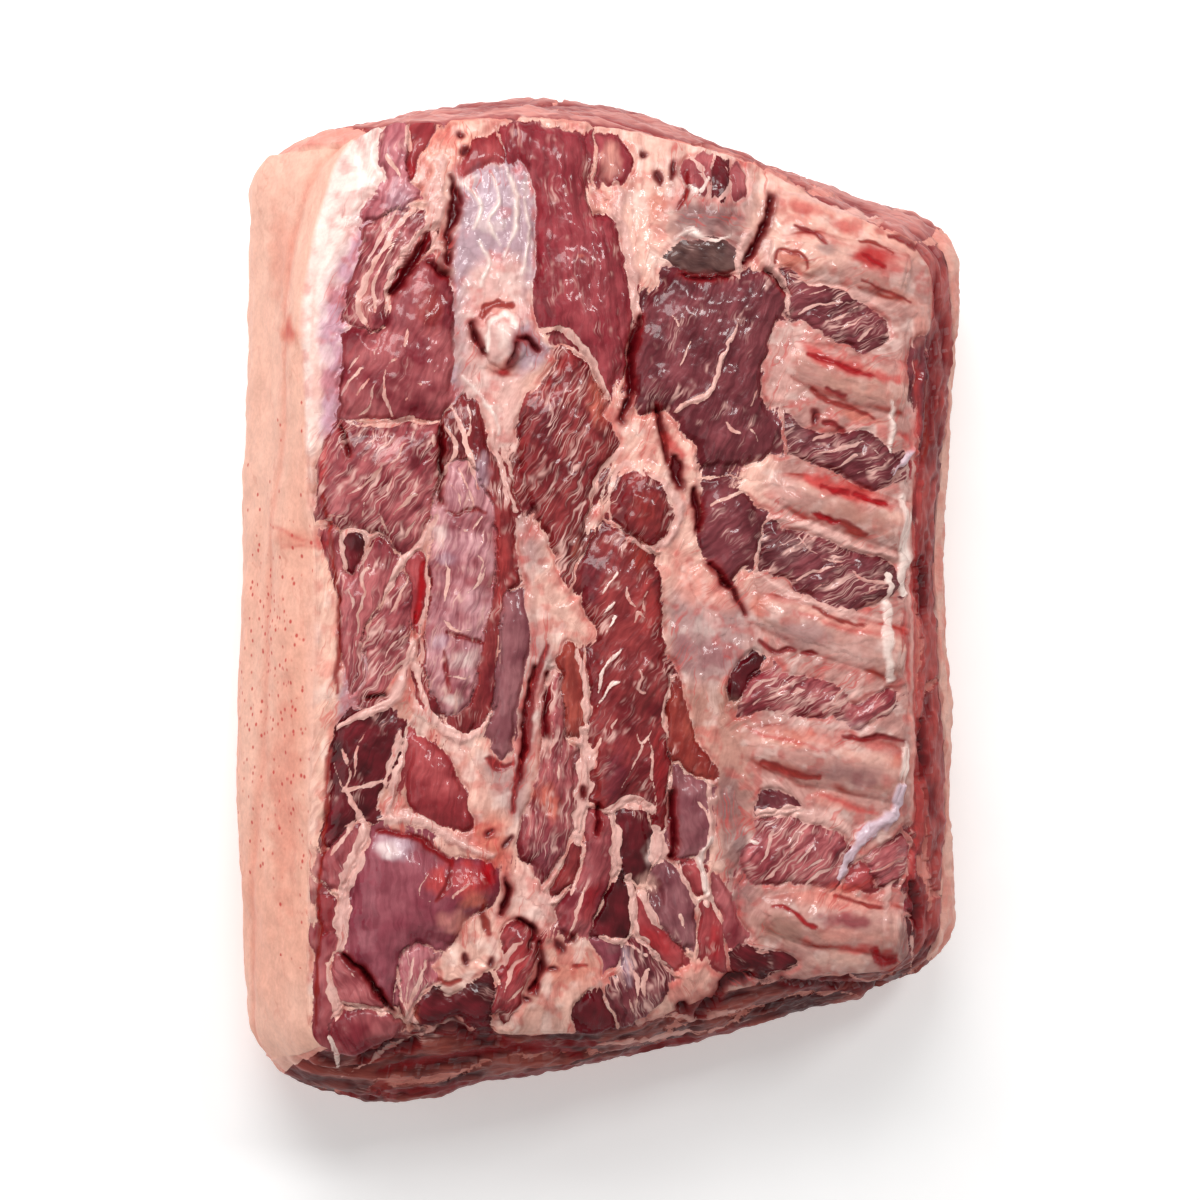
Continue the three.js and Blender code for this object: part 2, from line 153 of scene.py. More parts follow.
# An entry of the drawing is a name, then numbers, then points written x,y.
# Muscles: colours, direction of the fibres in degrees from +Y towards -X, marbling from 0 to 1,
# rise in millimetres, and the outline.
MUSCLES = """
# the upper left
rose -15 0.6 1.5 -67.5,127 -63,128.5 -56,128 -57,123 -60,118 -61,112 -62,105 -66,101 -72.5,101 -71.5,107
    -68,113 -70.5,119
bright -25 0.3 1 -62,128 -56,128 -57.5,122.5 -60,118 -61,112.5 -63,116 -62,123
dark -28 0.9 1 -62,104 -58,99 -62,93 -66.5,87 -68.5,80 -68,73 -73,71 -78,73 -78,82 -75.5,92 -71,101
deep -25 0.3 0.5 -58.5,97.5 -56.5,97 -60,91 -64,86 -67,82.5 -65.5,87 -62,93
dark -22 0.35 4 -57.5,90 -54,88 -51.5,84 -50.8,76 -51,64 -53,52 -56,49.5 -62,49.5 -70,49 -78,49.5 -80.3,54
    -80,62 -79,68 -77,72 -70,72 -67,78 -63,86
dark -35 1 4 -86,41 -80,45.5 -70,46.5 -60,47 -54,45.5 -53.5,37 -55.5,27 -57.5,20 -62,14.5 -65,13 -70,17
    -76,19.5 -83,20 -86,25 -87,35
deep 0 0.2 0.5 -79,16 -77,17 -74.5,15 -75.5,12 -76.5,8.5 -79,9.5 -79.5,13
dark -12 0.9 2.5 -83,20 -81,12 -80.8,7 -77,6 -76,9 -72,14 -70,17 -67,13 -66,7 -70,1 -72.5,-5 -74.5,-12
    -76.5,-22 -79.5,-17 -81.3,-8 -82,2 -84.5,14
dark -35 1 1.5 -67,4 -62,5 -61,-3 -62,-8 -63,-15 -67,-21 -70,-26 -73.5,-28 -72,-20 -74.5,-14 -73,-6 -69,0
deep -30 0.5 0.5 -81,-33 -76,-31 -71,-30 -66,-33 -67,-41 -70,-50 -72,-56 -76,-58 -80,-62 -83.5,-67 -84.5,-56
    -83,-46 -82.5,-38
dark 10 0.5 1.5 -80.5,-62 -76,-60 -75.5,-65 -79.5,-72 -84,-77.5 -85.5,-70
dark 0 0.3 1 -86.5,-76 -83.5,-79 -82.5,-88 -84.5,-95 -83.5,-105 -82.5,-112 -84.5,-119 -88,-120 -87,-107
    -87.2,-90
bright 0 0.2 1 -86.3,-79 -82.8,-80 -82.5,-87 -86,-88
# the lower left
bright -10 0.2 3 -62,-37 -55.5,-39 -51,-44 -47,-53 -44.5,-60 -47.5,-62 -53,-60.5 -59,-57.5 -63,-54 -62.5,-46
mauve 2 0.15 6 -73.5,-66 -70,-62 -64,-62.5 -58,-65.5 -51,-69.5 -45,-70 -40,-71 -38.5,-75 -40,-80 -44,-83
    -48,-86 -50,-91 -55,-91 -60,-91.5 -64,-95 -65,-103 -66,-109 -69,-106 -74,-100 -77.5,-95 -78,-88
    -77.5,-78 -75,-70
rose 5 0.9 2.5 -64.5,-95 -60,-91.5 -57,-94 -56.5,-100 -59,-106 -62,-110 -65.5,-108
dark 35 0.5 2 -81,-96 -77.5,-96.5 -72,-103.5 -68,-109 -74,-107.5 -80,-106.5 -82.5,-101
dark 25 0.3 3.5 -81,-111 -77,-110 -71,-110 -67,-112 -66,-117 -72,-120.5 -78,-124 -82,-120 -83.5,-114
deep 60 0.4 2 -60,-107.5 -57,-105 -51,-107 -46,-104 -41.5,-102.5 -37,-106 -38.5,-111 -44,-113.5 -49,-111.5
    -56,-114 -60,-112.5
# the middle, from the far end down
bright 0 0.2 1 -47.5,114.5 -43,115.5 -38.5,118 -39.5,123 -43.5,124.5 -45.5,121
red 5 0.6 4.5 -35.5,127 -29,128 -21,127.5 -14.5,125 -15,112 -12.5,105 -8,103 -5,97 -3,88 -2.2,78 -4,67
    -8.5,56 -11,60 -15,66 -20,71.5 -25,71.5 -28.5,79 -28.2,88 -27,98 -28.5,112 -34,121.5
red 0 0.3 1 -10,124.5 -5,125 -2,120 -3,115.5 -6,112.5 -9.5,115
brown -28 1 4 -31,52 -26,58 -21.5,65 -18,66.5 -13,61 -10.5,52 -7.5,46 -6.5,42 -10,37 -12.5,29 -14.5,20
    -17,12 -20,6 -23,12 -27,22 -31,30 -32.5,42
brown -5 0.7 2 -52,47 -46,54 -43.5,50 -42,44 -38,36 -34.5,24 -34,10 -36,0 -38,-9 -39,-25 -43,-32 -47,-35
    -53,-31 -58.5,-24 -58.5,-8 -56.5,8 -56,20 -54.5,34
glossy -15 0.8 5 -57,18 -55.5,28 -52,36 -46,37 -42,30 -39.5,22 -39,10 -40.5,0 -42,-10 -44,-20 -46,-27
    -50,-31 -54,-28 -57.5,-20 -57.5,-6 -56,6
bright 0 0.2 1 -61.5,11 -58,10 -58.3,0 -59.5,-9 -62,-6 -62,3
grey -4 0.1 3 -37,0 -34,2 -31.3,-4 -30.5,-13 -32.5,-23 -33.5,-33 -35,-40 -37.5,-43 -39.3,-37 -39.3,-26
    -38,-14
brown -35 0.6 4.5 -15,6 -12,13 -7,18.5 -2,18 1,13 4.5,8 6,0 6.8,-12 8,-22 7.5,-32 8.7,-42 8.5,-52 6,-60
    3,-54.5 -3,-53.5 -7,-56 -10.5,-56 -11.5,-46 -11.7,-37 -11,-28 -12.5,-19 -10.5,-10 -14,-3
orange -5 0.5 1 -20,-12 -17.5,-14 -16,-22 -15.5,-31 -18.5,-37 -20.8,-33 -20.6,-22
# the lower middle
dark -12 1 3.5 -24.5,-26 -21.5,-20 -20.3,-30 -19,-38 -17.4,-46 -17.6,-54 -18.2,-62 -20.5,-67 -22.5,-72
    -25,-75.5 -28.5,-71.5 -32.3,-69 -30.5,-60 -28.5,-54 -26.8,-46 -25.5,-36
brown -22 0.5 1.5 -18,-66 -15,-66 -16,-71 -19,-77 -22,-79 -22.5,-76 -20,-71
dark -22 0.5 3.5 -12,-57.5 -9.3,-58 -7.5,-62 -7,-69 -7.5,-75 -10.5,-83 -14.5,-87.5 -19.5,-91.5 -21,-86
    -18.5,-79 -15.5,-72 -14,-64
deep 0 0.3 3 -5,-57 0,-56 2,-60 2.4,-68 1,-74 -2,-75 -5,-73 -6,-64
deep 0 0.1 1 -5.5,-74 -3.5,-75 -2.3,-83 -2.6,-90 -5,-92.5 -8.5,-91 -10.3,-88 -8,-80
orange -15 0.3 1.5 9,-22 12,-30 16,-37 19,-43 20,-48 17,-46 12.5,-43.5 9.5,-43 8.3,-34
grey 5 0.2 3.5 10,-44 12.5,-49.5 18,-49.5 20,-55 20.8,-60 19.5,-65 16.5,-69 13.5,-70.5 10,-70 9.6,-60
    9.6,-50
bright 20 0.4 1 10.5,-70.5 15,-71.5 17,-76 16,-79.5 13,-75.5
grey 12 0.4 3 5.5,-74 9.5,-73 12,-76.5 14,-80.5 15.5,-85 14,-90 13.5,-95 10.3,-93 7,-88 6,-81
bright 30 0.1 2 0.5,-82 2,-87 6,-90 10,-92 13,-95.5 10,-98.5 6,-97 2,-93 0,-89
purple 15 0.9 3.5 -4,-93.5 0,-92 5,-96 7,-101 8,-106 5,-110 1,-113.5 -2.5,-114.5 -6.3,-111 -6.5,-105
    -4.5,-99
mauve 15 0.2 1 -10,-92 -6,-92 -4.5,-95 -6,-99 -9,-97
deep 0 0 2.5 -18,-112 -16.5,-108.5 -13.5,-106.5 -10.5,-109 -8,-113 -8.3,-117 -12,-119 -16,-118
bright -30 0.8 3.5 -37,-89 -34,-86.8 -29.5,-88.5 -27.2,-92 -28.5,-99 -31,-105 -34,-109 -38,-111.5 -41,-111
    -39,-105 -36,-99 -36.5,-93
bright -10 0.3 1 17,-84 19.5,-84 22,-88 23.5,-94 24,-99 20.5,-98 18,-91
dark -15 0.2 1 22,-76 25,-80 28,-87 28.7,-93 27,-95.5 24.5,-88 22.3,-82
# right of the middle, with the bones
purple -25 0.55 4 5,84 10,90 18,88.5 28,88 36,89 41,83.5 39,79 37,73 35,67 34,60 36,51 38,43 33,38 25,37
    18,36 16,42 13,46 7,52 0,51 -0.5,60 -1,66 0,74 2,80
purple -50 0.55 3 19,30 25,31 30,28 33,24 33,18 31,12 28,8 25,4.5 22,8 19,12 17,18 17.5,25
dark 0 0.3 1 12,117 15,120 19,118.5 18.5,113.5 14,112
deep 0 0.1 1 21,117 24,116.5 24.5,111.5 21.5,111
dark 0 0.1 1 25.7,115.5 28.5,116.5 30,112 26.5,110.5
stub 70 0.3 0.5 10,93 13,97 18,98 23,97.5 27,94 26,90 22,88.5 16,88.5 12,90
brown -28 0.7 1 -0.5,35 4,33 7.5,29 9,24 7.5,18.5 3.5,16 -1.5,17 -5.5,21 -6.5,27 -5,32
# between the ribs
purple -66 1 1.5 42,88.5 50,86.5 57,85 61,82 66,79 69,76 68,71 62,68.5 57,71.5 50,74 45.5,77 43,82
purple -66 1 1.5 42,50 46,47 52,45.5 60,46 66,45 70,42 73,38 70,32 63,31 58,34 50,37.5 43.5,41
purple -63 1 2 36,19.5 42,18.5 50,16.5 60,13.3 69,10.5 72,6 70,0 62,-2 57,-3 51,-0.5 45,2 41,6 36,9
dark -58 1 1.5 28.5,-28 31,-22 36,-19 42,-20.5 50,-22 57,-24.5 58.5,-27.5 61,-29 64,-27.5 71,-25.5 71,-30
    66,-33 60,-35.5 57.5,-33 50,-32 43,-31 36,-30 31,-30.5
deep 0 0 0.3 28,-17 32.5,-16 33.5,-19 30.5,-22 27.5,-27 27,-22
dark -42 1 2 28.5,-70 31,-67 35,-61 40,-59.5 46,-61 53,-63 58.5,-67 57.5,-71 55.5,-76 51,-78 43,-77 37,-77.5
    31.5,-77
bright -60 0.3 1 59,-78.5 62,-75 65.5,-73.5 66.5,-76 64,-78.5
dark -60 1 1 66,-76 66.5,-71 70,-67 73,-66 76,-68 75,-73 72,-77
purple 40 0.2 0.5 34,-52 38,-52.5 42,-55.5 40,-57 34.5,-57
deep 60 0.5 0.5 28,-94 31,-97 36,-96.5 40,-97 44,-99.5 41,-101.5 35,-103.5 30,-101 26,-98
# the strip past the ends of the ribs
red 0 0.8 2 79.5,64 82.5,66 84.5,50 85.5,20 85.3,-10 84.8,-40 84,-68 82.5,-80 79,-87 77,-80 78.5,-60 79,-30
    79,0 78.5,30
purple 0 0.5 1 78.5,66 80,70 82.5,60 82,46 79.5,40 78,50
deep 0 0.2 1 77,-89 81,-90 83.5,-94 83,-99 77.5,-100
"""

# Fat, skins and membranes: colour, strength, softness of the edge, outline.
SHEETS = """
sand 0.8 5 -90,40 -56,44 -58,-10 -60,-34 -60,-60 -80,-62 -90,-60
white 1 2 -80,131 -67,128 -70,119 -68,113 -72,106 -75,101 -80,90 -84,78 -84.5,60 -85,42 -90,42 -90.5,75
    -89,95 -86,108 -83,120
film 1 2.5 -74.5,102 -71,100 -73,93 -76,85 -78,78 -78.5,65 -79.5,46 -86,44 -86,60 -85.5,74 -81.5,90 -77.5,98
peach 1 3 -57,130 -46,131 -44,124 -47,116 -52,114 -58,112 -61,118
silver 1 2 -48.5,115 -41.5,117 -37.5,118 -34.5,122 -30,117 -28,110 -27,100 -28,87 -31,80 -27.5,72 -24,66
    -30,61 -38,57 -47,52 -52,56 -51.5,75 -51,90 -49.5,100
pink 0.9 3 -46,88 -34,92 -31,82 -34,66 -31,56 -33,40 -35,27 -40,35 -44,47 -48,55 -48,70
grey 0.9 3 -34,24 -28,18 -22,0 -22,-14 -26,-30 -29,-45 -31,-59 -35,-58 -42,-48 -42,-42 -36,-44 -32,-30
    -31,-10
cream 0.9 4 -30,8 -14,8 -12,-6 -15,-16 -24,-12 -29,-4
silver 0.9 3 -80,-17 -74,-15 -73,-22 -76,-30 -81,-34 -82,-26
pink 0.8 4 -36,-74 -28,-72 -20,-78 -20,-86 -26,-90 -34,-86
orange 0.9 4 -45,-60 -38,-58 -35,-68 -36,-76 -42,-70 -46,-64
cream 1 3 -57,-91 -50,-92 -44,-86 -38,-88 -38,-100 -44,-104 -54,-106 -57,-98
tan 0.6 4 -22,-90 -8,-91 -8,-104 -18,-107 -20,-112 -36,-116 -34,-108 -28,-98
orange 0.6 3 -25,-98 -14,-97 -12,-101 -16,-104 -24,-103
salmon 0.6 3 8,-98 15,-96 20,-99 18,-106 10,-108
membrane 0.9 4 35,90 46,88 90,86 92,-106 28,-106 30,-60 27,-30 32,10 38,40 33,62
peach 0.7 4 36,112 50,110 70,106 86,100 84,92 60,101 40,106
grey 1 4 8,2 20,2 30,0 31,-14 28,-22 18,-24 10,-18
salmon 0.8 3 9,16 14,12 19,8 25,2 29,-1 22,-3 12,0 9,7
grey 0.7 3 10,124 14,119 30,119 32,108 28,96 24,88 12,88 10,98 9,110
sand 0.8 4 10,-24 26,-24 31,-36 29,-60 22,-60 20,-46 14,-34
slate 0.7 3 22,-50 27,-48 31,-62 32,-74 30,-84 26,-84 22,-70
pink 0.5 4 33,84 42,84 46,72 44,58 40,48 35,52 34,64
rind 1 1.5 -93,22 -86,20 -81.5,4 -80.5,-14 -82.5,-36 -85,-66 -85.5,-95 -85,-125 -93,-125
cream 1 2 85.5,60 90,60 91,-100 86,-100 83.5,-84 85.5,-40 86,10
"""

# Soft patches over lean and fat alike: colour, strength, x, y, half sizes across and along, turn
# anticlockwise in degrees. The white and lavender patches on the glossy muscle, and those near -67,-66 on the
# mauve muscle, are silver skin with painted highlights on it.
PATCHES = """
lavender 0.8 -67 -66 5 4 0
white 0.5 -68 -66.5 3.5 3 0
slate 0.4 -56 -67 5 2 -30
red 0.7 -55 -74.5 3 4.5 -20
red 0.8 -47 -75 7 5 0
blood 0.9 -42.5 -74 4 3.5 0
orange 0.7 -46 -80 4 3 0
salmon 0.6 -50 -86 5 4 0
orange 0.6 -63 -111 3 4 0
dark 0.6 -70 -117 2.5 4 20
white 0.6 -48 -16 4.5 2.5 0
white 0.6 -50 -27 3 1.8 0
white 0.5 -54 18 2.5 4 0
lavender 0.5 -52 11 3 2 0
lavender 0.5 -54 -12 2.5 3 0
mauve 0.8 -48 -23 3.5 1.3 0
lavender 0.5 -43 35 2.5 5 0
red 0.4 -37.5 12 2 16 0
red 0.5 -84.5 35 1.3 9 0
purple 0.5 -77 41 6 4 0
rust 0.5 -57 78 4 6 0
purple 0.5 -64 78 2.5 7 -20
salmon 0.5 -73 80 2 6 0
blood 0.6 -61.5 115 1.3 3 0
lavender 0.4 -65 107 4 5 0
orange 0.6 -11 52 3 8 10
purple 0.4 -24 50 5 6 0
orange 0.4 -17 14 2 5 0
rust 0.7 0 12 4 5 0
purple 0.5 -13 5 2.5 8 0
dark 0.5 0 -25 5 7 0
purple 0.6 -7 -46 3.5 9 0
blood 0.4 5.5 -46 2.5 12 0
dark 0.4 -4 -51 2 4 0
red 0.4 2 -3 4 8 0
orange 0.7 -25 -54 3 6 10
mauve 0.7 -25 -68 4.5 6 0
blood 0.45 -13 -81 2.5 7 -25
lavender 0.7 -3 -99 1.8 6 10
slate 0.5 -7 -94 2 2 0
blood 0.5 6 -93 6 2.5 -40
blood 0.5 21.5 -93 2 5 0
blood 0.4 -33 -97 3 8 -20
blood 0.95 64 93.5 5.5 3 -6
red 0.55 68 92 8 4.2 -12
orange 0.7 42 93 4.5 2.6 -20
slate 0.6 53 96 4 2 -10
red 0.7 46 107 9 2.3 -15
red 0.7 57 103 5 2 -15
blood 0.6 67.5 101 2.5 1.2 -10
orange 0.5 74 83 6 2.5 -15
salmon 0.6 79 76 2.5 6 0
red 0.6 50 67 5 2.6 -20
tan 0.6 62 58 13 4 -12
orange 0.7 61 50.5 7 1.8 -14
slate 0.5 44 46 3.5 4 0
red 0.8 58 30 12.5 3.2 -14
red 0.5 49 33 4 2.5 0
sand 0.8 60 23.5 11 3 -13
pink 0.6 41 29 5 4.5 0
slate 0.5 41 14 4.5 5 0
salmon 0.8 55 -6 12 2.2 -14
grey 0.8 46 -9 9 4 -8
pink 0.6 58 -15 10 4 -8
orange 0.6 33 -1 2.5 4 0
orange 0.6 42 -37.5 10 3 -8
white 0.4 60 -35 10 2 -5
rust 0.6 41 -46.5 8 2 -10
slate 0.6 58 -48 10 3.5 -5
magenta 0.4 62 -50 4 2.5 0
salmon 0.7 54 -55 7 2.4 -15
orange 0.6 72 -44 3 2 0
orange 0.7 57 -79.5 6 2 -5
salmon 0.8 55 -82 15 3 -8
magenta 0.8 57.5 -87.5 8.5 2.6 -4
olive 0.7 39 -90 7.5 5 -8
salmon 0.6 57 -92 8 2 0
cream 0.7 56 -98.5 9 3 0
blood 0.7 69 -98.5 3 3 0
red 0.6 62 -96 6 1.6 0
slate 0.5 74 -94 2 9 0
salmon 0.6 77 -30 1.5 30 0
mauve 0.5 21 -15 6 4 0
mauve 0.5 12 -14 3 5 0
olive 0.5 24 -28 5 2.5 0
slate 0.6 24 -55 2.5 6 0
slate 0.6 28 -66 3 6 0
slate 0.85 18 103 9 5 10
slate 0.5 27 97 4 8 0
orange 0.6 5 107 3 4.5 0
blood 0.4 8 44 2 3.5 30
rust 0.4 2 25 5 6 0
dark 0.4 -3 20 3 5 0
orange 0.5 -37 62 5 2.5 0
salmon 0.6 -38 79 5 2.5 0
white 0.6 -36.5 71 2.5 4 0
grey 0.6 -49 70 1.5 12 0
lavender 0.5 -40 108 6 8 0
white 0.6 -46 112 3 1.5 0
peach 0.6 -8 118 3 6 0
white 0.5 4 -68 2.5 4 0
cream 0.6 3 -77 3 3 0
orange 0.6 -17 92 1.5 0.8 0
orange 0.8 -94 71 3.5 4.5 0
red 0.45 -93.5 71.5 2 2.6 0
orange 0.4 -92 16 6 3 0
blood 0.9 -37.5 61 2.6 1.4 0
orange 0.35 -97 92 3.5 16 0
orange 0.4 -95 -52 5 30 0
cream 0.5 -87.5 55 1.5 40 0
cream 0.5 -88 -40 1.5 45 0
brown 0.6 -24 -92 2.5 1.5 0
dark 0.5 -47 -105 10 1.5 0
"""
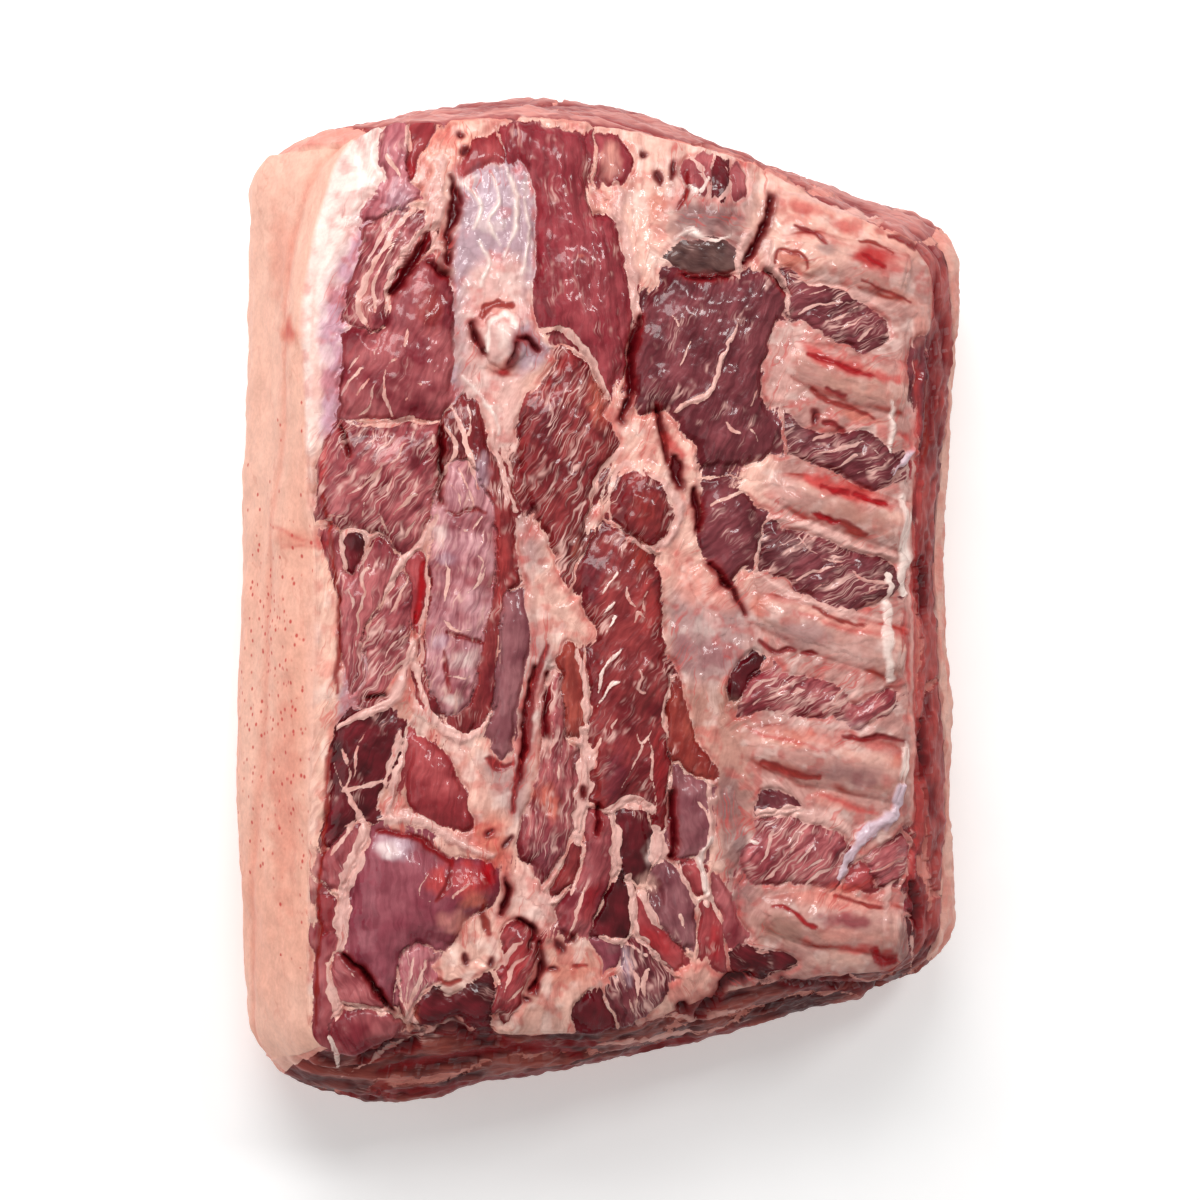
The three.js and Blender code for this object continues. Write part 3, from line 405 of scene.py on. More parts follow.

# Strokes: kind, half width, the points that it runs through.
# the long muscle in the middle and what lies right of it; the white streaks on the muscle are pale marbling
# with painted highlights on them
# the lower left, where the white stroke on the left edge of the corner piece is a painted highlight
# the rind and its edge, and folds of the silver skin, whose white strokes are pale skin with painted wet
# highlights on it
STROKES = """
# the upper left
cord 2.6 -53.5,117 -55,108 -55.5,100
cord 1.7 -55.5,101 -60,95.5 -64,90 -67.5,86
cord 1.6 -55.5,101 -54.5,94 -51.5,88
gap 1.3 -50.5,113 -49.3,107 -51.3,100 -51.7,90
gap 1.3 -57,97 -60,92 -63.5,87 -66.5,82
gap 0.8 -57,90.5 -54,88.3 -51.5,86
strand 0.9 -61,104 -67,97 -73,86 -75.5,78 -73,72.5 -69.5,73
strand 0.7 -60,98 -64.5,91 -67.5,84 -68,76
strand 0.6 -64,105 -70,97 -74,88
strand 0.5 -63,100 -68.5,91 -71,84 -71,77
strand 0.7 -62,120 -62.5,125 -62,128
strand 0.8 -68,118 -66,115 -64.5,113
strand 0.5 -63,72 -63.3,70 -63.7,67.5
strand 0.35 -57,76 -58.3,74 -59.5,71.5
strand 0.6 -75,61.5 -77.5,58 -79.5,54.5
strand 0.6 -73,58.5 -74.3,56.5 -75.3,54.5
strand 0.5 -65,64.5 -68,62.5 -69.2,58 -68.7,53.5 -67,49.5
strand 0.4 -71.5,57 -72,53 -74,50 -78.5,47.5
strand 0.4 -75.5,65.5 -77.5,63 -79,60.5
strand 0.3 -71,67 -72.5,63 -74,60
strand 0.3 -63.5,53.5 -64.2,52.8
strand 0.25 -60,58 -59.3,57.5
strand 0.25 -55.3,62 -55.8,61
# the left
strand 0.9 -79,47.3 -75,46.5 -71,47 -67,47.5 -63,48.6 -58,48 -54,47.8
strand 0.6 -61.3,45 -62.5,42.5 -65,41 -66,37.5 -70,34.5 -73.5,31 -78,28.3
strand 0.4 -75,45.5 -76,42 -77,38
strand 0.4 -72.5,46 -72,43 -72.3,41.5
strand 0.4 -61,40 -62.5,37.5 -65.5,35.5
strand 0.4 -62,33.3 -63,32 -64,31.2
strand 0.35 -66.5,33 -68,29 -69.3,26.5
strand 0.7 -60.5,28 -63,26.3 -66,23
strand 0.6 -55.5,44 -56,42 -56.3,40.5
strand 0.5 -71.5,25 -69.7,21.5 -68.3,18
strand 0.5 -74.5,26 -75,23 -74.3,21.5
strand 0.35 -83.5,22.5 -80.5,22.2 -78.5,23
strand 0.4 -60.8,21 -62.8,19 -64.3,16.5
strand 0.4 -76,37.5 -73.5,36.8 -71.5,37.2
gap 0.7 -53.5,46 -54,42 -53.6,38 -54,32 -54.3,26
gap 0.5 -80.5,46 -79,43 -78,38
strand 0.9 -73,15 -75,18 -79,17.3 -80.3,14 -79.8,9
strand 0.4 -71.5,16 -74,11 -76,8
cord 1.1 -55.7,22 -58,18 -60,14.5 -64,11 -66.2,6.5 -69.8,1
strand 0.5 -69.5,1.5 -72.5,-4 -73.5,-9.5 -75,-15 -77,-22
strand 0.6 -73,9 -75.3,6.5 -74.5,2 -75.7,-3 -76,-9 -76.8,-16
strand 0.4 -62,6 -64.5,3 -66,-1 -68.5,-4
strand 0.4 -62.5,-9 -66,-11 -68.5,-15 -69,-18
strand 0.5 -63,-16 -66,-18.5 -69.5,-20
strand 0.4 -78.5,3 -77.5,-1 -78,-5
strand 0.5 -57,17 -57,8 -57.5,2 -58.5,-5 -59.5,-9 -58.8,-13 -58.8,-20
gap 0.6 -73.5,-26 -71,-25.5 -69,-25
blood 0.8 -58.3,9.5 -59,3 -60,-3 -60.5,-7
# the lower left
cord 1.3 -81,-34.5 -75,-31 -68,-27.5 -63.5,-20 -61,-11
cord 1.4 -61,-11 -60,-20 -58.5,-26 -54.5,-33 -48,-37 -43,-35 -40.5,-31
strand 0.8 -80,-51 -75,-49.5 -70,-48
strand 0.8 -79.5,-50 -76,-57 -73,-61
strand 0.8 -77.5,-59 -80,-63 -83,-68
cord 2.3 -74,-61 -76,-68 -79,-75 -80.2,-83 -80.3,-93
cord 1.4 -71,-58.5 -66,-58 -60,-59 -53,-63 -46,-66.5 -40,-68.5
cord 1 -69,-49 -66.5,-41 -65,-35
cord 1.2 -68,-57 -66,-47 -63.5,-37
strand 0.6 -80,-40 -78,-46 -79,-50
strand 0.4 -82,-44 -79,-52 -75,-59
strand 0.4 -73,-33 -76,-40 -77,-47
gap 0.8 -79.5,-94.5 -76,-97.5 -72,-102 -69,-106 -67,-109.5
strand 0.9 -80,-107.3 -74,-108.5 -67.5,-110.5
strand 1 -84,-97 -83.3,-103 -82,-108 -81.5,-112
white 0.8 -83.5,-116 -82.7,-119 -81.5,-122.5
strand 0.6 -63,-110 -60,-103 -57.5,-96
strand 0.6 -63.3,-110 -64.5,-103 -65.2,-97
strand 0.45 -63,-110 -62.3,-103 -61,-95
strand 0.4 -63,-111 -59,-106 -57,-102
cord 1.2 -63,-109 -62,-112 -59.5,-115
strand 0.35 -78,-99 -76,-100.5 -75,-101.5
strand 0.3 -74.5,-115.5 -73.5,-115
strand 0.4 -59.5,-79 -57,-80 -54.5,-79.5
strand 0.4 -57.5,-72.5 -59.5,-76 -59.5,-79
strand 0.35 -46,-74 -49,-77 -51.5,-79
crease 0.5 -51,-70 -52,-75 -55,-79.5
crease 0.7 -71,-61.5 -66,-62 -61,-63.5 -56,-66.5 -51,-70
# round the gristle
gap 0.7 -32.5,71 -30,70.5 -27.5,67
gap 0.6 -45.5,74 -44.5,69.5 -42.5,66.5
gap 0.6 -33,69.5 -33.3,66 -35.5,63
rust 1 -43,76 -40,79.5 -35,79
white 0.9 -41.5,67 -41,73 -37,77 -33,74
# the middle
strand 1 -27,72.5 -20,72.5 -15,66.5 -11,60 -8,54
cord 1.6 -7,104 -4,98 -2,90 -1,80 0.5,75
gap 0.9 0.8,76 -1.8,66 -2,56 -5,49
strand 0.8 -50.5,52 -48,45 -46,38 -44,30
strand 0.6 -52.5,47 -50,40 -53,34
strand 0.5 -46.5,54 -46,48 -46.3,44
strand 0.5 -52,32 -50,28 -49,24
strand 0.5 -49,35 -47,30 -46,25
cord 0.9 -40,44 -37.5,37 -35.5,30 -33,24
strand 0.5 -54,16 -52,8 -53,0
strand 0.5 -54,-5 -50,-8 -46,-8
strand 0.4 -47,2 -44,5 -42,9
strand 0.4 -50,20 -46,19 -43,23
strand 0.4 -52,-20 -47,-21 -44,-19
strand 0.4 -45,14 -43,11 -44,6
crease 0.4 -53,24 -50,23 -46,24.5 -42,24
crease 0.5 -52,-9 -48,-10 -43,-12
crease 0.4 -53,-14 -52.5,-19 -51.5,-24
# right of the middle
cord 0.8 27,75 22,65 20,57.5 14,54 9.5,51
strand 0.4 34,60 32,56 31,53
strand 0.4 24,48 26,45.5 28,45
strand 0.3 8,78 10,75 11,71
strand 0.3 14,70 12,66 10.5,63
strand 0.3 30,46.5 32,45 33,42
gap 0.8 35.5,90.5 39,87.5 41.5,84
gap 0.8 5,52 6.5,45 9,38
gap 1.8 10.5,39 11,35 11.5,31
red 1.4 7,45 9.5,42.5 12,40
strand 0.9 -5,41 -10,35.5 -12.7,28 -14,18
cord 1.2 3,34 8,30.5 11.5,24 8.5,17 3,13.5 -3,17
strand 0.8 -7,20 -8,28 -5,36 -1,36 2,33.5
strand 0.5 19.5,26 24,28 29.5,29.5
gap 0.9 15,30 16,26 16.5,20
gap 0.6 20,10 24,4.5 27,2 29.5,-4
gap 1 37,110 35.5,103 32,96 29,92
cord 1.2 30.5,100 28,95 27.5,88
cord 1 36.5,98 35.5,93 41,86 42,78
# the long muscle in the middle and what lies right of it
white 0.5 -11,1 -9,4 -6.5,8
white 0.5 -11,-5 -9,-2.5 -7,-0.5
white 0.6 -9,-9 -7.8,-6.5 -7,-4.5
white 0.6 -5.5,-14 -9,-17 -10.5,-20 -11,-25
white 0.6 -6,-22 -8.5,-23.5 -10,-27 -11,-29
strand 0.35 -1,-18 0.5,-21 -0.5,-24 1.5,-25
strand 0.35 -6,-31 -6.8,-33 -7.5,-35
strand 0.4 -1.5,-35 0.5,-38 3,-35
strand 0.3 0.5,-38 0,-41 -3,-46 -5,-51
strand 0.45 2,-37 3.2,-41 3,-47 4.5,-53 5,-58
strand 0.6 8.2,-24 7,-29 7.2,-33 8.3,-37
strand 0.8 8.8,-45 9,-53 8,-61
strand 0.4 -10.5,-37 -11.5,-40 -12,-43
strand 0.4 2,2 0.5,0 1,-3
strand 0.35 -4,3 -3,0 -1.5,-2
strand 0.35 -2,-6 -1,-3.5 1,-5
gap 0.8 9.5,-52 9.6,-60 9.3,-70
gap 0.7 -10.5,-55 -11,-60 -11.5,-63
gap 0.6 -24.5,-20 -24.8,-30 -25.5,-40
cord 2.5 -15,-35 -14.5,-42 -14.5,-50 -15.5,-58 -16.5,-65
cord 1 -17,-14 -15,-20 -14,-28 -14,-36
hole 0.8 -15,-51 -15,-53
strand 0.5 -23,-30 -23.8,-37 -24.8,-45
strand 0.4 -21,-38 -22,-44 -22,-50
cord 1.8 -8,-57 -4,-54.8 1,-54.8 4,-57
cord 1.6 -7,-58 -6.5,-64 -6.3,-72 -6.8,-76
cord 2.4 5,-62 5.5,-68 4.5,-72
cord 1.4 20,-50 20.5,-58 19.5,-64 17,-70 18,-77 19,-83
white 1 19.5,-64 17.2,-69 17.5,-74 18.3,-80
cord 1.2 -2.8,-75 -1.2,-82 0,-90 5,-96 9.5,-99.5
cord 1 -10,-90.5 -6,-92 -3,-93 2,-96
cord 1.2 1,-80 3,-84 6,-89
cord 0.8 11,-71 12,-76 15,-81 16,-84
strand 0.5 -14.5,-66 -15.5,-72 -18,-78 -18.6,-80
strand 0.4 -15,-78 -17,-84 -20,-91
strand 0.5 -3,-97 0,-103 -1,-109
strand 0.6 3,-100 1.5,-104 2,-108
strand 0.4 -4,-103 -3,-107 -1.5,-111
strand 0.4 11,-85 12,-87 12.5,-89
strand 0.4 16,-54 18.5,-57 19.5,-60
# the holes and cords of the lower middle
strand 0.7 -30,-95 -32.5,-96.5 -35,-100 -36.5,-105
strand 0.6 -31,-104 -33.5,-106 -36,-107.5
strand 0.5 -32,-91 -35,-94 -36.3,-98
crease 0.7 -25,-12 -28,-22 -30,-36 -33,-48 -34,-57
gap 0.6 -28.5,-18 -30,-28 -31.5,-40 -32.5,-50
crease 1 -40.5,-42.5 -38,-45 -34.5,-44
hole 0.7 -40,-62.5 -41.5,-63.5
hole 0.7 -37,-66 -34.5,-64
gap 0.9 -36,-75 -35.5,-79 -37.5,-84
rust 0.9 -43,-82 -42,-86 -41,-89
hole 0.6 -47,-95 -46.5,-97
hole 0.6 -40,-96 -40.5,-98
rust 0.6 -54,-101.5 -51,-102.5 -48,-102
hole 0.7 -19,-90 -18,-91
hole 0.8 -22,-92 -21,-94
rust 0.6 -18,-98.5 -15,-98
hole 0.6 -24.5,-99.5 -22.5,-99
hole 0.6 -27.8,-103 -27.6,-106
hole 0.5 -30.5,-107.5 -29.5,-108
gap 0.7 -27,-92 -26.5,-100 -29,-105
hole 1 -46.5,120.5 -47.5,119.5
hole 0.7 -48.7,124.5 -48,125
hole 0.8 0.5,121 1.5,121
hole 0.7 5,116 6,113
gap 0.7 -30,-93 -28.5,-88.5 -33,-86
# the bone of the far end
crease 0.6 13,116 13,110 11,106
strand 0.8 15,120 19,113 20,108
strand 0.7 24.5,117 25,112 22,108
strand 0.8 29.5,118 31,112 30,104
white 0.7 11,98 15,100 20,97 25,99
gap 0.6 11,88.5 17,87 25,88
cord 2 -5.5,113 -5,108 -6,103
hole 0.7 10,119 9,115
white 0.5 13,113 17,111 19,114
# the ribs, their coverings and what lies between them
strand 0.8 37,112.5 46,110 56,107.3 64,105.3 70,103
crease 0.5 43,102 48,100.3 52,97.5
rust 0.4 62,98 66,97.3 70.5,95
crease 0.6 70,100 74,98.5 77,97
rust 0.3 37.5,92.5 38.3,95.5 41,95.3 45,94 46.7,91
strand 1.1 42,88.8 50,87 58,84.8 66,81 72,79
rust 0.25 62,87.3 68,84.5 76,82
blood 0.9 62.5,94 66,92 68,91.5
red 1.8 46,70 50,66.8 60,63.3 72,60
blood 0.6 47,67 52,66 58,63.5 65,61.5
rust 0.5 48,57.5 53,54.3 60,52 66,50
crease 0.5 52,57.5 55,56.5 57,55.5
hole 0.8 49,51.5 49,49
crease 0.6 51.5,48.7 54,48 57,46.5
strand 0.5 49,39.8 56,42 62,43.5 66,44.7
strand 0.6 53.5,36 58,38.5 60.5,40
strand 0.5 60,34.5 64,36.5 68,37.5
strand 0.5 62,44 66,41.5 69.5,38.5
strand 0.4 46,42 50,44.5 54,45.5
strand 0.4 44,84 48,83.5 52,84.8
strand 0.5 45,78.5 50,80.5 56,81.5
strand 0.4 52,76 57,78 61,80
strand 0.5 55,73.5 60,76 65,79
strand 0.5 61,71.5 64,74.5 67,76
red 1.6 47,33.3 53,31 60,29 69.5,25.3
blood 0.8 50.5,31.5 54,30 58,29.6
blood 0.8 60,29.3 65,27 68.5,26
rust 0.6 48.5,23 53,21.7 58,20.2 63,18.3
blood 0.5 49,22.8 52,21.8 55,21
cord 1.4 36,22.5 42,21.5 48,19.5 55,17.4 62,14 71,12
strand 0.5 44,16.5 47.5,13.5 50,12
strand 0.4 50.5,11.3 56,10.5 60.5,12.5
strand 0.4 43.5,5.5 49,8 56,9.5
strand 0.5 58,9 62,5.5 70,4.8
strand 0.4 48,2 52,5 58,6.5
strand 0.4 60,0 64,2.5 69,3.5
cord 1.2 33,8 38,3.3 45,0.3 53,-2 62,-4 67,-5.5
red 0.4 44,-4 53,-6.5 60,-8.5 67,-9.5
rust 0.4 48,-2.3 55,-5 62,-7
crease 0.5 34,-11.5 38,-14 41,-13 44,-13.8
crease 0.5 46,-14.8 50,-15
white 1.5 69.3,7 69.5,0 69,-8 69,-15 70,-22
red 0.9 74,-4 74.5,-10 75.5,-20 76.5,-25
strand 0.7 55,-27.5 58,-23.5 59.5,-21
strand 0.9 60,-27 62,-23.5 63,-21
strand 0.6 52,-31 58,-28.3 63,-25
strand 0.7 65,-33 70,-30 73,-26
strand 0.4 32,-28.5 37,-24.5 43,-22.5
strand 0.4 36,-29.5 42,-26 47,-24
strand 0.4 41,-30.5 47,-27 52,-24.5
strand 0.35 30,-26 34,-22.5 38,-20.8
red 0.5 30,-34.5 33,-36.5 38,-38 45,-39 50,-41
crease 0.5 57,-37.7 62,-38 68,-37.3 74,-39
rust 0.7 34,-44 39,-46 44,-47.8 50,-48.5
red 0.8 50,-53 55,-55 60,-57 66.5,-58.7
strand 1 35,-49 40,-51.3 44,-54
white 0.8 74,-39 74,-45 73,-51
cord 2 33,-58 41,-57.8 50,-59.5 56,-62 60,-66
white 0.5 31.5,-65.5 33,-66.5
strand 0.8 45,-63.5 42.5,-68 40,-72 35.5,-76.5
strand 0.5 48,-66 45,-70 42,-73.5
strand 0.4 53,-70 48,-72 44,-75
strand 0.5 56,-73 50,-75 47,-77.5
strand 0.5 37,-63 36,-68 33.5,-72
splinter 1.9 73,-51 72,-57 68,-61 63,-65 58.5,-71 56,-76.5
strand 0.5 64,-74.5 69,-73 74,-71
red 0.8 54,-78 60,-79 66,-77
rust 0.35 55,-81 62,-83 69,-84.5
blood 0.45 37,-83.5 42,-85 46,-88 49,-89
red 0.9 53,-94.5 60,-96 66,-95
blood 1.1 66,-95.5 68,-99 71,-99
strand 0.6 36,-103 42,-101 47,-98.5
white 0.8 70.5,54 71,48 70.8,41
splinter 1.1 70.5,35 74,38 77,41.5
white 1.4 73,28 74.5,22 75,14 73.5,6 74.5,1
strand 0.8 68,-90 69,-84 71,-79 73,-77
strand 0.4 76.5,-84 76.8,-95 76.3,-104
red 0.9 73,46 76,44 77,40
red 1 78,66 78,50 77.5,30 77,5 77.5,-30 77.8,-55 76.5,-80
strand 0.5 77,75 77.5,55 76.8,35 76,10 76.5,-20 77.2,-50 76,-76
gap 0.8 79,12 79.5,5 80,-2
gap 0.8 79,-33 79.5,-42 80,-48
gap 0.7 77,-78 78.5,-85 78,-90
rust 0.7 80.5,60 81,45 80,38
# the rind and its edge, and folds of the silver skin
red 0.15 -98,20 -93,17.5 -88,15 -84,14.5
red 0.1 -95,14 -90,14 -85,13.5
white 0.5 -47,112 -43,106 -45,99
white 0.5 -40,114 -38,107 -41,101 -38,95
white 0.6 -36,116 -33,108 -34,99 -37,92
white 0.5 -44,96 -41,90 -43,84
white 0.4 -31,108 -30,98 -32,88
white 0.5 -48,60 -44,56 -40,50 -38,44
rust 0.4 -84.3,30 -82.8,12 -81.3,-8 -81.6,-24
rust 0.4 -83.5,-40 -85,-58 -86.2,-76 -86.8,-95 -87,-112
strand 0.4 30,-103.5 37,-105 50,-103 62,-103.5 76,-105
# the near and far ends, just below the edge of the face
gap 1.5 -75,-121.5 -68,-119.5 -60,-118
gap 1.8 -54,-115 -50,-114.5 -46,-116.5
strand 0.5 -80,-126 -70,-121.5 -60,-117 -52,-113.8 -44,-115
gap 1.6 21,-107.5 25,-103.5 31,-102.5
gap 1.2 16,-112 19,-109.5 22,-108
gap 1 11,-110.5 13,-110
rust 2 -72,-130.5 -67,-132
strand 0.5 0,-114.5 8,-113 16,-113.3 26,-111 36,-109
strand 0.5 -12,-120 4,-119 18,-117 30,-114.5
crease 0.8 -70,-126 -50,-122 -30,-120 -12,-119.5
crease 0.9 -80,-132 -60,-131.5 -40,-129 -15,-126 10,-121 30,-116
gap 0.8 40,-104.5 52,-106 64,-105.5 75,-106
strand 0.5 42,-108 55,-108.5 68,-107.5
crease 0.7 -40,-117.5 -28,-121 -16,-122.5
strand 0.8 -78,129.5 -70,130.5 -62,130
strand 0.7 60,112 70,108.5 80,105
strand 0.7 20,125 30,122.5 38,118
"""

# Kinds of stroke: colour, how much it covers, height of its middle, softness of its edge, and how much wider
# a dark red halo round it is. Gaps, holes and creases are painted dark as shade in their hollows, and their
# halo is the edge of that painted shade; round rust and blood the halo is a red stain.
KINDS = {
    "cord": ("pink", 1.0, 0.8, 0.9, 0.0),
    "strand": ("pink", 0.8, 0.2, 0.5, 0.0),
    # white: pale tissue, and in the strokes noted among the strokes a painted highlight as well
    "white": ("white", 0.9, 0.5, 0.5, 0.0),
    "splinter": ("lavender", 1.0, 1.2, 0.6, 0.0),
    # gap, hole and crease: dark colour painted as shade in the hollow
    "gap": ("dark", 1.0, -2.0, 0.7, 2.0),
    "hole": ("dark", 0.95, -0.9, 0.7, 1.4),
    "crease": ("shade_and_stain_red", 0.85, -0.6, 0.7, 0.7),
    "rust": ("rust", 0.85, -0.3, 0.7, 0.6),
    "red": ("red", 0.8, -0.15, 1.0, 0.0),
    "blood": ("blood", 0.95, -0.3, 0.7, 0.5),
}
# Tones across a rib: colour, strength, place from -1 to 1 across it, half width. The cream band on its upper
# side is a painted highlight where the light falls on it, the sand band towards its near side is painted
# shade, and the rust and red lines are its own colour.
RIB_TONES = [
    # painted highlight along the rib's upper side
    ("cream", 0.9, 0.35, 0.3),
    # painted shade towards the rib's near side
    ("sand", 0.8, -0.45, 0.35),
    ("rust", 1.0, 0.9, 0.1),
    ("rust", 1.0, -0.92, 0.12),
    ("red", 0.5, 0.72, 0.15),
]
PALE_KINDS = ("cord", "strand", "white", "splinter")

# ---------- named values ----------

# Relief and surfaces, in millimetres where they are lengths.
REACH = 9.0  # how far from an outline its distance is worked out
GROWTH = 0.5  # how far the lean spreads past the outlines drawn
FRINGE = 0.6  # how far its edge wanders in and out along the fibres
NARROW_GAP = 6.0  # muscles nearer to each other than this meet, with only a seam between them
SEAM = 0.7
SEAM_WAVE = 0.9
DOME_WIDTH = 9.0  # how far in from its edge a muscle goes on rising
OUTERMOST = 0.9999  # u and v past this are on the sides and ends
LIP = 0.69  # share of the height that the fat reaches on the right side
LIP_WAVE = 0.03
INNER_SLOPE = 0.1  # how the fat of the left side thins, in u
FACE_STEP = 0.38  # between vertices of the face
FAT_STEP = 0.75
STEEP = 0.75  # walls have a smaller part of their normal upright, and less gloss
LEAN_CUTS = [0, 0.265, 0.53, 0.795, 1.01]  # shares across the lean where its surface is parted
FACE_SIZE = (165, 250)  # across and along the lean
WALL_ROWS = 36  # rows of vertices up the walls of the lean
ROW_CURVE = 1.4  # above 1, the rows of the walls lie closer together near the face
RING_INWARD = (0.1, 0.1, 0.7)  # how far the ring that closes a piece goes towards its middle
CORE_HEIGHT = 40  # where the closing fans of the large pieces meet
LIP_INNER = 0.96  # u of the lean behind the lip of fat
LIP_SOFT = 0.02  # share over which the lean comes out to the wall above it
LEFT_END = 0.36  # share of the fat's section that is its left side
SLAB_END = 0.46  # and where it turns up the right side
FAT_COLUMNS = (110, 14, 44)  # on the left side, under the loin and on the right side
FAT_LENGTH = 265
FAT_ROWS = 11  # rows of vertices from the rind inwards
SLAB_INNER = (-0.8, 0.9)  # u at both ends of the slab's inner side
RIB_STEP = 0.45  # between vertices of a rib
RIB_STANDS = 0.3  # height of a rib's middle over what covers it
RIB_SINKS = -0.9  # and of its edge
BONE_ROWS = 33  # vertices along each edge of the cube that a lump is made from

# Painting.
LATER_WINS = 0.3  # a later muscle hides an earlier one where it is deeper than this
DOME_SHARE = 0.75  # of the rise given for a muscle
FIBRE_STRETCH = 0.12
FIBRE_SWITCH = 0.3  # weight from which the other paint's fibres are taken
RIBS_FROM = 33  # where the skin over the ribs starts, across the plan
RIB_FIBRES = -104  # the direction that its fibres take
RIDGE_BEND = 1.8  # how far the ridges along the fibres wander
SMOOTH_RIDGES = 0.05  # height of the ridges of unmarbled lean
MARBLED_RIDGES = 0.3  # how much higher they are where it is marbled
FAT_RIDGES = 0.25
FOLD_HEIGHT = 0.35
GROOVE_DEPTH = 0.8  # round every muscle
EDGE_WOBBLE = 0.45  # of a stroke, in half widths
WOBBLE_LIMIT = 0.2
# how much the halo round a stroke covers: painted shade round gaps, holes and creases, a red stain round rust
# and blood
SHADE_AND_STAIN_HALO_COVER = 0.85
LAYERING = 0.35  # streaks of the cut ends are one over this longer than high
LAYER_WAVE = 4
END_MARBLING = 0.45
# Stains and painted highlights over all the fat: colour, strength, size, seed and how much less. The red is a
# stain; the white is partly whiter fat and partly painted wet highlights.
STAINS_AND_HIGHLIGHTS = [
    ("red", 0.4, 3.6, 61, 0.25),
    ("white", 0.32, 4.2, 62, 0.2),
]
ATTRIBUTES = {
    "lean": "FLOAT",
    "marbling": "FLOAT",
    "fibre": "FLOAT_VECTOR",
    "lean_colour": "FLOAT_COLOR",
    "fat_colour": "FLOAT_COLOR",
}
FIELDS = {"FLOAT": "value", "FLOAT_VECTOR": "vector", "FLOAT_COLOR": "color"}

# Materials and studio, with places and sizes of the lights in millimetres.
FINISHES = [("flesh", 0.4, 0.25, 0.8), ("flesh_walls", 0.0, 0.05, 0.4)]  # name, gloss, shine, grain
COAT_ROUGHNESS = 0.1
REFRACTION = 1.38
GRAIN_DEPTH = 0.0004  # metres
FLOOR_REACH = 2.5  # metres each way
FLOOR_DEPTH = 0.0005  # metres below the loin
FLOOR_GLOW = 0.2
WORLD_COLOUR = (1.0, 0.985, 0.97, 1)
WORLD_STRENGTH = 0.37
# Lights: name, place, what it points at, size, power in watts.
LIGHTS = [
    ("key", (-250, 620, 800), (0, 0, 60), (600, 400), 6.9),
    ("fill", (-700, -100, 500), (0, 0, 40), (600, 600), 1.0),
    ("glint", (260, 380, 900), (0, 0, 80), (160, 160), 2.0),
]
SENSOR_WIDTH = 36
CAMERA_TARGET = (-10.5, 0.0, 80.0)
CAMERA_DISTANCE = 800.0
CAMERA_LEAN = math.radians(10)
FRAME_WIDTH = 324.0  # what the picture spans at the target


# ---------- small helpers ----------

def linear(colour):
    """An sRGB colour of 0 to 255 as the linear numbers that a shader takes."""
    c = np.asarray(colour, float) / 255
    return np.where(c < 0.04045, c / 12.92, ((c + 0.055) / 1.055) ** 2.4)


def mix(a, b, t):
    return a + (b - a) * t


def ease(t):
    t = np.clip(t, 0, 1)
    return t * t * (3 - 2 * t)


def unit(vectors):
    return vectors / np.maximum(np.linalg.norm(vectors, axis=-1, keepdims=True), 1e-9)


def drawn(text):
    """The entries of a drawing, each a name, its numbers and an array of its points. A line that
    starts with a space goes on with the entry above it, and one that starts with # is a note."""
    entries = []
    for entry in re.split(r"\n(?=\S)", text.strip()):
        if not entry.startswith("#"):
            name, *fields = entry.split()
            numbers = [float(field) for field in fields if "," not in field]
            points = [field.split(",") for field in fields if "," in field]
            entries.append((name, *numbers, np.array(points, float)))
    return entries


def along(values, t):
    """A smooth curve through evenly spaced values, read at t from 0 to 1."""
    values = np.asarray(values, float)
    last = len(values) - 1
    place = np.clip(t, 0, 1) * last
    i = np.minimum(last - 1, place.astype(int))
    f = place - i
    b, c = values[i], values[i + 1]
    a = np.where(i > 0, values[np.maximum(i - 1, 0)], 2 * b - c)
    d = np.where(i + 2 <= last, values[np.minimum(i + 2, last)], 2 * c - b)
    turn = 2 * a - 5 * b + 4 * c - d
    return b + 0.5 * f * (c - a + f * (turn + f * (3 * (b - c) + d - a)))


NOISE_TABLE = np.random.default_rng(11).uniform(-1, 1, 1 << 14)


def noise(points, size, seed, octaves=1):
    """Smooth noise from about -1 to 1 at (n, 2) or (n, 3) points; size is in the points' unit."""
    points = np.asarray(points, float) / size
    total, weight, reach = 0, 0, 1.0
    for octave in range(octaves):
        cell = np.floor(points).astype(np.int64)
        fade = ease(points - cell)
        value = 0
        for corner in itertools.product((0, 1), repeat=points.shape[1]):
            key = np.full(len(points), (seed + 31 * octave) * 7919, np.int64)
            share = 1
            for axis, step in enumerate(corner):
                key = (key ^ ((cell[:, axis] + step) * (73856093, 19349663, 83492791)[axis])) * 668265
                key ^= key >> 13
                share = share * (fade[:, axis] if step else 1 - fade[:, axis])
            value = value + share * NOISE_TABLE[key & (len(NOISE_TABLE) - 1)]
        total, weight = total + reach * value, weight + reach
        points, reach = points * 2.03, reach * 0.5
    return total / weight * 1.5


# ---------- where things are ----------

def rounded_corner(u, v):
    """u and v run from -1 to 1 over the block; this turns the square's corners round."""
    size = np.maximum(np.maximum(abs(u), abs(v)), 1e-9)
    reach = (CORNER_RADIUS / HALF_WIDTH, CORNER_RADIUS / HALF_LENGTH)
    over = [(abs(c) / size - 1) / r + 1 for c, r in zip((u, v), reach)]
    length = np.hypot(*over)
    corner = np.minimum(*over) > 0
    round_u, round_v = (
        np.where(corner, np.sign(c) * size * (1 + (o / np.maximum(length, 1e-9) - 1) * r), c)
        for c, o, r in zip((u, v), over, reach)
    )
    return round_u, round_v


